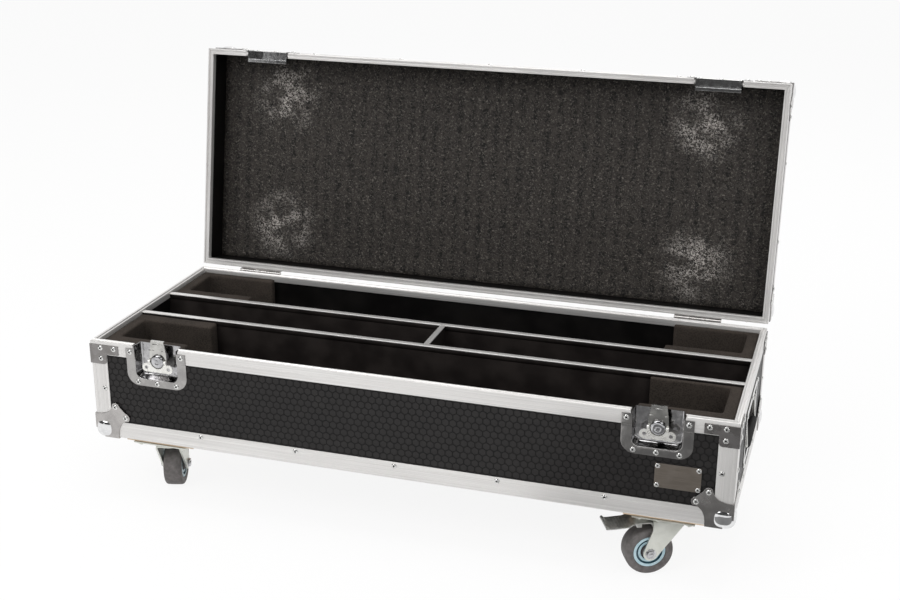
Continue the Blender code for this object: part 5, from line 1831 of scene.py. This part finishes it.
@dataclass(frozen=True)
class Foam:
    """Sawn foam cups in the four end bays, and the crinkled sheet under the lid."""

    voxel: float = 3.0 * MM
    cup_round: float = 1.4 * MM
    saw_mark: float = 0.35 * MM
    saw_step: float = 18 * MM
    sheet_thickness: float = 10 * MM
    sheet_margin: float = 1 * MM
    sheet_step: float = 6 * MM
    curl: float = 3.0 * MM
    curl_reach: float = 5 * MM
    swell: float = 0.5 * MM
    swell_length: float = 24 * MM
    lump: float = 0.8 * MM
    lump_size: float = 45 * MM
    calm_reach: float = 12 * MM

    def cup(self, node: str) -> Item:
        """A cup with the soft edges and slightly uneven faces of sawn foam."""
        made = softened(node, self.cup_round)
        remesh = made.modifiers.new("even", "REMESH")
        remesh.mode = "VOXEL"
        remesh.voxel_size = self.voxel
        smooth = made.modifiers.new("soft", "SMOOTH")
        smooth.iterations = 2
        made = applied(made)
        moved = []
        for place, normal in [(vertex.co.copy(), vertex.normal.copy()) for vertex in made.data.vertices]:
            moved.extend(place + normal * (noise.noise(place / self.saw_step) - 1) * self.saw_mark)
        made.data.vertices.foreach_set("co", moved)
        made.data.update()
        made.data.shade_smooth()
        return made

    def level(self, x: float, y: float, edge: float) -> float:
        """How far the sheet's face at a place stands up from its lowest, by the distance to its edge."""
        curl = self.curl * max(0.0, 1 - edge / self.curl_reach) ** 2
        swell = self.swell * (1 + math.sin(2 * math.pi * x / self.swell_length))
        lump = self.lump * (1 + noise.noise(Vector((x, y, 0)) / self.lump_size))
        return curl + (swell + lump) * min(1.0, edge / self.calm_reach)

    def sheet(self) -> Item:
        """The lid's sheet in the shut lid: a flat back, and a face that swells between its glue lines."""
        inset = CASE.inner_inset + self.sheet_margin
        half_x, half_y = CASE.half_length - inset, CASE.half_width - inset
        high = CASE.lid_top - CASE.inner_inset - CASE.fit
        low = high - self.sheet_thickness
        columns, rows = int(2 * half_x / self.sheet_step), int(2 * half_y / self.sheet_step)
        points, faces = [], []
        for row in range(rows + 1):
            for column in range(columns + 1):
                x, y = -half_x + 2 * half_x * column / columns, -half_y + 2 * half_y * row / rows
                edge = min(half_x - abs(x), half_y - abs(y))
                points.append((x, y, low + self.level(x, y, edge)))
        width = columns + 1
        for row in range(rows):
            for column in range(columns):
                first = row * width + column
                faces.append((first, first + width, first + width + 1, first + 1))
        rim = [*range(columns), *(row * width + columns for row in range(rows))]
        rim += [rows * width + column for column in range(columns, 0, -1)]
        rim += [row * width for row in range(rows, 0, -1)]
        start, count = len(points), len(rim)
        points += [(points[index][0], points[index][1], high) for index in rim]
        for index in range(count):
            onward = (index + 1) % count
            faces.append((rim[index], rim[onward], start + onward, start + index))
        faces.append(tuple(range(start, start + count)))
        made = surface("sheet", points, faces)
        made.data.shade_smooth()
        made.data.set_sharp_from_angle(angle=math.radians(60))
        return made

    def build(self) -> None:
        """Build the cups and the sheet."""
        for name in CORNERS:
            node = f"foam_cup_{name}"
            cup = settle(self.cup(node), f"{node}_block", "tray", [CUP_FOAM], stands_for=[node])
        sheet, place = self.sheet(), CASE.lid_place
        settle(sheet, "lid_foam_sheet", "lid", [SHEET_FOAM], place, ["lid_foam"])


# Casters


@dataclass(frozen=True)
class Casters:
    """Four swivel casters with grey tyres on blue hubs, the front two braked, on birch boards."""

    x: float = 441.5 * MM
    y: float = 150 * MM
    trail: float = 30 * MM
    wheel_drop: float = 80.5 * MM
    board: float = 12 * MM
    plate: float = 2.5 * MM
    head: float = 6 * MM
    bolt_x: float = 40 * MM
    bolt_y: float = 33 * MM
    bolt_size: float = 11 * MM
    tread_ribs: int = 5
    nut_reach: float = 9 * MM
    cheek_out: float = 22.2 * MM
    tread_start: float = 35 * MM
    tread_half: float = 20.4 * MM
    pin_x: float = 24 * MM
    pin_drop: float = 10 * MM
    hub_rings: tuple[tuple[float, int], ...] = ((8.9, 3), (13.97, 2), (18.5, 0), (21.5, 1), (30.0, 0))
    turns: tuple[tuple[str, float], ...] = (
        ("front_left", 106.4),
        ("front_right", 206.2),
        ("back_left", 75.0),
        ("back_right", 128.0),
    )

    @property
    def plate_low(self) -> float:
        """The height of the underside of the top plates."""
        return CASE.base - 2 * CASE.fit - self.board - self.plate

    @property
    def fork_top(self) -> float:
        """The height of the top of the forks."""
        return self.plate_low - self.head - CASE.fit

    def tyre(self) -> Item:
        """The tyre about its axle, with a crowned tread and rounded shoulders."""
        half = [(26.4, 14.2), (26.6, 15.0), (28.0, 15.6), (31.0, 15.9), (34.5, 16.0)]
        half += [(37.3, 15.6), (39.0, 14.2), (39.7, 12.0), (39.9, 8.0), (40.0, 3.0)]
        profile = half + [(r, -a) for r, a in reversed(half)]
        made = turned("tyre", [(r * MM, a * MM) for r, a in profile], 72)
        made.data.transform(Matrix.Rotation(math.radians(-90), 4, "X"))
        return made

    def wheel_hub(self) -> Item:
        """The hub about its axle: pale rims and a teal groove, a grey web and the bearing's boss."""
        half = [(5.5, 18.3), (8.6, 18.3), (8.8, 18.0), (9.0, 17.0), (11.6, 17.0), (12.0, 16.6)]
        half += [(12.3, 10.4), (13.8, 10.5), (14.1, 12.9), (14.6, 13.5), (18.2, 13.8), (18.6, 13.4)]
        half += [(18.9, 11.9), (21.3, 12.0), (21.6, 14.5), (22.0, 15.0), (26.0, 15.1), (26.35, 14.7)]
        profile = half + [(r, -a) for r, a in reversed(half)]
        made = turned("hub", [(r * MM, a * MM) for r, a in profile], 56)
        for face in made.data.polygons:
            reach = sum(made.data.vertices[v].co.xy.length for v in face.vertices) / len(face.vertices)
            face.material_index = next(index for limit, index in self.hub_rings if reach < limit * MM)
        made.data.transform(Matrix.Rotation(math.radians(-90), 4, "X"))
        made.data.set_sharp_from_angle(angle=SHARP)
        return made

    def bolt_head(self) -> Item:
        """A hexagon nut with its bolt's end, one unit across the corners, hanging from Z = 0."""
        nut = prism("nut", arc((0, 0), 0.5, 0, 300, 5), "Z", -0.02, 0.36)
        nut = rounded(nut, 0.03, 2)
        end = turned("end", [(0, 0.3), (0.24, 0.3), (0.24, 0.5), (0.19, 0.56), (0, 0.56)], 12)
        return merged("bolt", [nut, end])

    def pedal_ribs(self, pin: Matrix) -> Item:
        """Raised bars across a brake pedal's tread, along its slope."""
        spots = []
        for index in range(self.tread_ribs):
            along = 1 + 5 * index
            at = Vector((46 + along, 0, 1.4 - along / 20)) * MM
            spots.append((pin @ at, pin.to_3x3() @ Vector((0, 1, 0)), (0, 0, 1)))
        sizes = {"Length": 34 * MM, "Rib radius": 0.7 * MM}
        return RepeatTree("pedal_ribs", sizes, rib_bar, PEDAL_STEEL).spread("pedal_ribs", spots)

    def tread(self) -> Item:
        """A brake pedal's tread about its pin: stepped down from the arm, with a rolled free edge."""
        low = [(34, 3.2), (37, 3.0), (41, 0.0), (46, -0.5), (70, -1.6), (76, -1.5)]
        roll = arc((78.6, 1.0), 2.6, -105, 160, 12)
        high = [(74.5, 0.5), (70, 0.2), (46, 1.4), (42.4, 2.1), (38.6, 4.8), (34, 5.0)]
        outline = [(x * MM, z * MM) for x, z in [*low, *roll, *high]]
        return rounded(prism("tread", outline, "Y", -self.tread_half, self.tread_half), 0.4 * MM, 2, 40)

    def pedal(self, node: str, pin: Matrix) -> Item:
        """A brake pedal where it lies: its arm and shoe from the solid, and a new tread."""
        arm = softened(node, 0.6 * MM)
        spent = block("spent", (self.tread_start, -30 * MM, -2 * MM), (90 * MM, 30 * MM, 30 * MM))
        tread = self.tread()
        for item in (spent, tread):
            item.data.transform(pin)
        return merged("pedal", [cut(arm, spent), tread])

    def build(self) -> None:
        """Build the boards and the four casters."""
        for side in SIDES:
            dressed_copy(f"caster_board_{side}", "ply", "tray", BIRCH, 0.4 * MM, 2)
        wheel_z = CASE.base - self.wheel_drop
        for name, degrees in self.turns:
            sign_x, sign_y = CORNERS[name]
            spot = Vector((sign_x * self.x, sign_y * self.y, 0))
            swivel = Matrix.Translation(spot) @ Matrix.Rotation(math.radians(degrees), 4, "Z")
            dressed_copy(f"caster_plate_{name}", "steel", "tray", FORK_ZINC, 0.5 * MM, 2)
            self.bolts(name, spot)
            node, body = f"caster_fork_{name}", f"swivel_body_{name}"
            fork = softened(node, 0.8 * MM)
            axle = swivel @ Matrix.Translation((self.trail, 0, wheel_z))
            self.strip_nuts(fork, axle)
            settle(fork, f"{node}_pressing", body, [FORK_ZINC], swivel, [node], True)
            settle(self.axle_nuts(), f"caster_nuts_{name}", body, [CHROME], axle)
            node, body = f"caster_wheel_{name}", f"wheel_body_{name}"
            settle(self.tyre(), f"caster_tyre_{name}", body, [TYRE_RUBBER], axle, [node])
            finishes = [PALE_NYLON, TEAL_NYLON, HUB_GREY, CHROME]
            settle(self.wheel_hub(), f"caster_hub_{name}", body, finishes, axle)
            if name.startswith("front"):
                node, body = f"brake_pedal_{name}", f"pedal_body_{name.removeprefix('front_')}"
                pin = Matrix.Translation((self.pin_x, 0, self.fork_top - self.pin_drop))
                pedal = self.pedal(node, swivel @ pin)
                settle(pedal, f"{node}_pressing", body, [PEDAL_STEEL], swivel, [node], True)
                settle(self.pedal_ribs(pin), f"{node}_ribs", body, [PEDAL_STEEL], swivel)

    def strip_nuts(self, fork: Item, axle: Matrix) -> None:
        """Take the plain nuts off a fork, to make room for hexagonal ones."""
        home = axle.inverted()
        with reshaped(fork.data) as shape:
            found = []
            for vertex in shape.verts:
                place = home @ vertex.co
                if math.hypot(place.x, place.z) < self.nut_reach and abs(place.y) > self.cheek_out:
                    found.append(vertex)
            bmesh.ops.delete(shape, geom=found, context="VERTS")

    def axle_nuts(self) -> Item:
        """A washer, a hexagon nut and the axle's end on both cheeks, about the axle."""
        washer = turned("washer", [(0, 21.4), (8.7, 21.4), (8.7, 22.6), (8.3, 22.9), (0, 22.9)], 32)
        end = turned("end", [(0, 22.9), (3.3, 22.9), (3.3, 26.6), (2.8, 26.95), (0, 26.95)], 20)
        nut = rounded(prism("nut", arc((0, 0), 7.8, 0, 300, 5), "Z", 22.9, 26.2), 0.7, 3)
        one = merged("nut", [washer, end, nut])
        one.data.transform(Matrix.Scale(MM, 4))
        one.data.transform(Matrix.Rotation(math.radians(-90), 4, "X"))
        other = mirrored(one, "other", Matrix.Rotation(math.pi, 4, "Z"))
        return merged("nuts", [one, other])

    def bolts(self, name: str, spot: Vector) -> None:
        """Four nuts under a caster's top plate."""
        head = self.bolt_head()
        spots = []
        for side_x in (-1, 1):
            for side_y in (-1, 1):
                at = spot + Vector((side_x * self.bolt_x, side_y * self.bolt_y, self.plate_low))
                spots.append((at, (0, 0, -1), (1, 0, 0)))
        sizes = {"Diameter": self.bolt_size}
        tree = RepeatTree(f"bolts_{name}", sizes, turned_shape(head), FORK_ZINC, twist=math.pi / 6)
        made = tree.spread("bolts", spots)
        discard(head)
        settle(made, f"caster_bolts_{name}", "tray", [FORK_ZINC])


# Hinges, the bare plate and the rivets


@dataclass(frozen=True)
class Trim:
    """The hinges, the bare name plate and every rivet that isn't a fitting's own."""

    hinge_x: float = 426.5 * MM
    hinge_rivet: float = 30 * MM
    hinge_rise: float = 14 * MM
    hinge_rivet_size: float = 7.5 * MM
    leaf: float = 1.5 * MM
    plate_low: Point2 = (426 * MM, 51.5 * MM)
    plate_high: Point2 = (498 * MM, 92.5 * MM)
    plate_round: float = 2 * MM
    plate_rivet_size: float = 8.6 * MM
    plate_sheet: float = 1.0 * MM
    plate_rivet: float = 4.2 * MM
    row_step: float = 175 * MM
    side_step: float = 70 * MM
    row_rise: float = 23 * MM
    post_inset: float = 21.5 * MM
    post_rise: float = 91 * MM

    def edge_spots(self, height: float) -> Spots:
        """Rivets along the four edges at one height."""
        found = []
        for index in range(-2, 3):
            for sign in (-1, 1):
                found.append(((index * self.row_step, sign * CASE.half_width, height), (0, sign, 0)))
        for sign_x in (-1, 1):
            for y in (-self.side_step, self.side_step):
                found.append(((sign_x * CASE.half_length, y, height), (sign_x, 0, 0)))
        return found

    def post_spots(self, height: float) -> Spots:
        """A rivet on both faces of each post."""
        found = []
        for sign_x, sign_y in CORNERS.values():
            x, y = CASE.half_length - self.post_inset, CASE.half_width - self.post_inset
            found.append(((sign_x * x, sign_y * CASE.half_width, height), (0, sign_y, 0)))
            found.append(((sign_x * CASE.half_length, sign_y * y, height), (sign_x, 0, 0)))
        return found

    def hinge_spots(self, up: int) -> Spots:
        """The rivets of the hinges' leaves above or below the seam."""
        y = CASE.half_width + CASE.fit + self.leaf
        z = (CASE.rim_top + CASE.seam) / 2 + up * self.hinge_rise
        return [
            ((sign * self.hinge_x + side * self.hinge_rivet, y, z), (0, 1, 0))
            for sign in SIDES.values()
            for side in (-1, 0, 1)
        ]

    def name_plate(self) -> None:
        """The bare plate on the front panel, with a rivet in each corner."""
        (x0, z0), (x1, z1) = self.plate_low, self.plate_high
        back = CASE.front + CASE.panel_inset - CASE.fit
        corners = [(x, z, self.plate_round) for x, z in ((x0, z0), (x1, z0), (x1, z1), (x0, z1))]
        outline = filleted(corners, 5)
        plate = rounded(prism("plate", outline, "Y", back - self.plate_sheet, back), 0.25 * MM, 2)
        settle(plate, "bare_name_plate", "tray", [PLATE])
        inset = self.plate_rivet
        face = back - self.plate_sheet
        places = [(x, z) for x in (x0 + inset, x1 - inset) for z in (z0 + inset, z1 - inset)]
        spots = [((x, face, z), (0, -1, 0)) for x, z in places]
        RIVETS.set_in("name_plate_rivets", "tray", spots, diameter=self.plate_rivet_size)

    def build(self) -> None:
        """Build the hinges, the plate and the rivets."""
        for side in SIDES:
            for body, place in (("tray", IDENTITY), ("lid", CASE.lid_place)):
                node = f"hinge_{body}_leaf_{side}"
                dressed_copy(node, "steel", body, CORNER_ZINC, 0.35 * MM, 2, place)
        self.name_plate()
        tray = BallCorners().spots(1) + Braces().spots() + LATCHES.spots() + HANDLES.spots()
        tray += self.edge_spots(CASE.base + self.row_rise) + self.post_spots(CASE.base + self.post_rise)
        RIVETS.set_in("tray_rivets", "tray", tray)
        RIVETS.set_in("tray_hinge_rivets", "tray", self.hinge_spots(-1), diameter=self.hinge_rivet_size)
        lid = BallCorners().spots(-1) + LATCHES.keeper_spots()
        lid += self.edge_spots(CASE.lid_top - self.row_rise)
        RIVETS.set_in("lid_rivets", "lid", lid, CASE.lid_place)
        RIVETS.set_in("lid_hinge_rivets", "lid", self.hinge_spots(1), CASE.lid_place, self.hinge_rivet_size)


# Studio


@dataclass(frozen=True)
class Studio:
    """A pale floor, a white surround and plain soft lamps."""

    floor_half: float = 14.0
    surround: float = 0.62
    glow_share: float = 0.9
    flag_radius: float = 3.6
    flag_steps: int = 12
    flag_arcs: tuple[tuple[str, float, float, float, float], ...] = (
        ("left", -105.0, -36.0, 0.28, 3.2),
        ("front", -34.0, 34.0, 0.4, 4.0),
        ("right", 36.0, 105.0, 0.28, 3.2),
    )
    flag_sheets: tuple[tuple[str, str, tuple[float, float, float, float], float], ...] = (
        ("ceiling", "#3a3a3a", (-3.4, 3.4, -3.4, 0.8), 4.2),
        ("floor", "#7a7a7a", (0.2, 2.2, -1.1, -0.3), -0.119),
    )
    lamps: tuple[tuple[str, Point3, Point3, float, float], ...] = (
        ("key", (-1.6, -2.6, 2.6), (0.0, 0.0, 0.1), 2.0, 46.0),
        ("fill", (2.1, -2.4, 2.3), (0.0, 0.0, 0.1), 1.8, 18.0),
        ("back", (0.3, 2.6, 2.6), (0.0, 0.1, 0.3), 1.6, 20.0),
        ("top", (0.0, -0.3, 3.0), (0.0, 0.0, 0.0), 2.0, 30.0),
    )

    def seen(self, tree: Tree, *kinds: str) -> Socket:
        """1 for rays of the given kinds, else 0."""
        rays = add_node(tree, "ShaderNodeLightPath").outputs
        value = rays[f"Is {kinds[0]} Ray"]
        for kind in kinds[1:]:
            feeds = {0: value, 1: rays[f"Is {kind} Ray"]}
            value = add_node(tree, "ShaderNodeMath", feeds, operation="MAXIMUM").outputs[0]
        return value

    def world(self) -> None:
        """A white surround, dimmer for the light it gives than for what is seen of it."""
        world = bpy.data.worlds.new("white_surround")
        world.use_nodes = True
        tree = world.node_tree
        tree.nodes.clear()
        seen = self.seen(tree, "Camera", "Glossy", "Transmission")
        feeds = {"Value": seen, "To Min": self.surround, "To Max": 1.0}
        strength = add_node(tree, "ShaderNodeMapRange", feeds).outputs["Result"]
        light = add_node(tree, "ShaderNodeBackground", {"Color": linear("#ffffff"), "Strength": strength})
        add_node(tree, "ShaderNodeOutputWorld", {"Surface": light.outputs[0]})
        bpy.context.scene.world = world

    def paper(self) -> Look:
        """The floor's paper, which glows to the camera so that it is white but for the shadow on it."""
        made = bpy.data.materials.new("white_floor_paper")
        made.use_nodes = True
        tree = made.node_tree
        tree.nodes.clear()
        paper = add_node(tree, "ShaderNodeBsdfDiffuse", {"Color": linear("#f4f4f4")})
        glow = add_node(tree, "ShaderNodeEmission", {"Color": linear("#ffffff"), "Strength": 1.0})
        feeds = {0: self.seen(tree, "Camera", "Glossy"), 1: self.glow_share}
        share = add_node(tree, "ShaderNodeMath", feeds, operation="MULTIPLY").outputs[0]
        mix = add_node(tree, "ShaderNodeMixShader", {0: share, 1: paper.outputs[0], 2: glow.outputs[0]})
        add_node(tree, "ShaderNodeOutputMaterial", {"Surface": mix.outputs[0]})
        return made

    def cloth(self, name: str, colour: str) -> Look:
        """A flag's plain cloth."""
        made = bpy.data.materials.new(f"flag_cloth_{name}")
        made.use_nodes = True
        feed(made.node_tree, made.node_tree.nodes["Principled BSDF"], {"Base Color": linear(colour)})
        return made

    def card(self, name: str, points: Sequence[Point3], faces: Sequence[tuple], look: Look) -> Item:
        """Set a thin card in the studio."""
        mesh = bpy.data.meshes.new(name)
        mesh.from_pydata(points, [], faces)
        mesh.materials.append(look)
        item = as_object(f"studio_{name}", mesh)
        return item

    def level_card(self, name: str, area: tuple, height: float, look: Look) -> Item:
        """Set a level card, by its extent in X and Y."""
        x0, x1, y0, y1 = area
        corners = [(x0, y0, height), (x1, y0, height), (x1, y1, height), (x0, y1, height)]
        return self.card(name, corners, [(0, 1, 2, 3)], look)

    def curved_card(self, name: str, span: Point2, heights: Point2, look: Look) -> Item:
        """Set an upright card on a circle round the case, between two angles and two heights."""
        (near, far), (low, high) = span, heights
        points = []
        for step in range(self.flag_steps + 1):
            turn = math.radians(near + (far - near) * step / self.flag_steps)
            x, y = self.flag_radius * math.sin(turn), -self.flag_radius * math.cos(turn)
            points += [(x, y, low), (x, y, high)]
        faces = [(2 * step, 2 * step + 2, 2 * step + 3, 2 * step + 1) for step in range(self.flag_steps)]
        return self.card(name, points, faces, look)

    def flags(self) -> None:
        """Dark flags for polished metal to reflect, which nothing else sees: curved ones and level ones."""
        flags = []
        for name, near, far, low, high in self.flag_arcs:
            cloth = self.cloth(name, "#3a3a3a")
            flags.append(self.curved_card(f"flag_{name}", (near, far), (low, high), cloth))
        for name, colour, area, height in self.flag_sheets:
            flags.append(self.level_card(f"flag_{name}", area, height, self.cloth(name, colour)))
        for flag in flags:
            flag.visible_camera = flag.visible_shadow = False
            flag.visible_diffuse = flag.visible_transmission = False

    def lights(self) -> None:
        """Broad soft lamps, aimed at the case."""
        for name, place, target, size, watts in self.lamps:
            data = bpy.data.lights.new(f"{name}_lamp", "AREA")
            data.shape = "DISK"
            data.size = size
            data.energy = watts
            lamp = bpy.data.objects.new(f"{name}_lamp", data)
            lamp.location = place
            lamp.rotation_euler = (Vector(target) - Vector(place)).to_track_quat("-Z", "Y").to_euler()
            bpy.context.scene.collection.objects.link(lamp)

    def build(self) -> None:
        """Set up the surround, the floor, the flags, the lamps and how colours are shown."""
        self.world()
        level = min(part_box(f"caster_wheel_{name}")[0].z for name in CORNERS)
        half = self.floor_half
        self.level_card("floor", (-half, half, -half, half), level, self.paper())
        self.flags()
        self.lights()
        bpy.context.scene.view_settings.view_transform = "Standard"


@dataclass(frozen=True)
class PhotoCamera:
    """The camera that took the photograph, fitted to the case in it."""

    focal: float = 1398.6
    width: float = 900.0
    sensor: float = 36.0
    place: tuple[float, float, float] = (0.6983, -2.1553, 1.0544)
    yaw: float = -17.242
    pitch: float = 19.797
    roll: float = 0.332

    def build(self) -> None:
        """Make the camera and set it as the scene's."""
        yaw, pitch, roll = (math.radians(angle) for angle in (self.yaw, self.pitch, self.roll))
        level = Vector((math.cos(yaw), -math.sin(yaw), 0))
        ahead = Vector((math.sin(yaw), math.cos(yaw), 0))
        forward = ahead * math.cos(pitch) - Vector((0, 0, math.sin(pitch)))
        upright = level.cross(forward)
        right = level * math.cos(roll) + upright * math.sin(roll)
        up = upright * math.cos(roll) - level * math.sin(roll)
        data = bpy.data.cameras.new("photo_camera")
        data.sensor_width = self.sensor
        data.sensor_fit = "HORIZONTAL"
        data.lens = self.focal / self.width * self.sensor
        data.clip_start, data.clip_end = 0.05, 60
        camera = bpy.data.objects.new("photo_camera", data)
        turn = Matrix((right, up, -forward)).transposed().to_4x4()
        camera.matrix_world = Matrix.Translation(self.place) @ turn
        bpy.context.scene.collection.objects.link(camera)
        bpy.context.scene.camera = camera


def main() -> None:
    """Build the case's looks in order, then the studio and the camera."""
    logging.basicConfig(level=logging.INFO, format="%(name)s: %(message)s")
    PhotoCamera().build()
    Extrusions().build()
    HoneycombPanels().build()
    BallCorners().build()
    Braces().build()
    LATCHES.build()
    HANDLES.build()
    Dividers().build()
    Foam().build()
    Casters().build()
    Trim().build()
    Studio().build()
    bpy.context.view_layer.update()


if __name__ == "__main__":
    main()
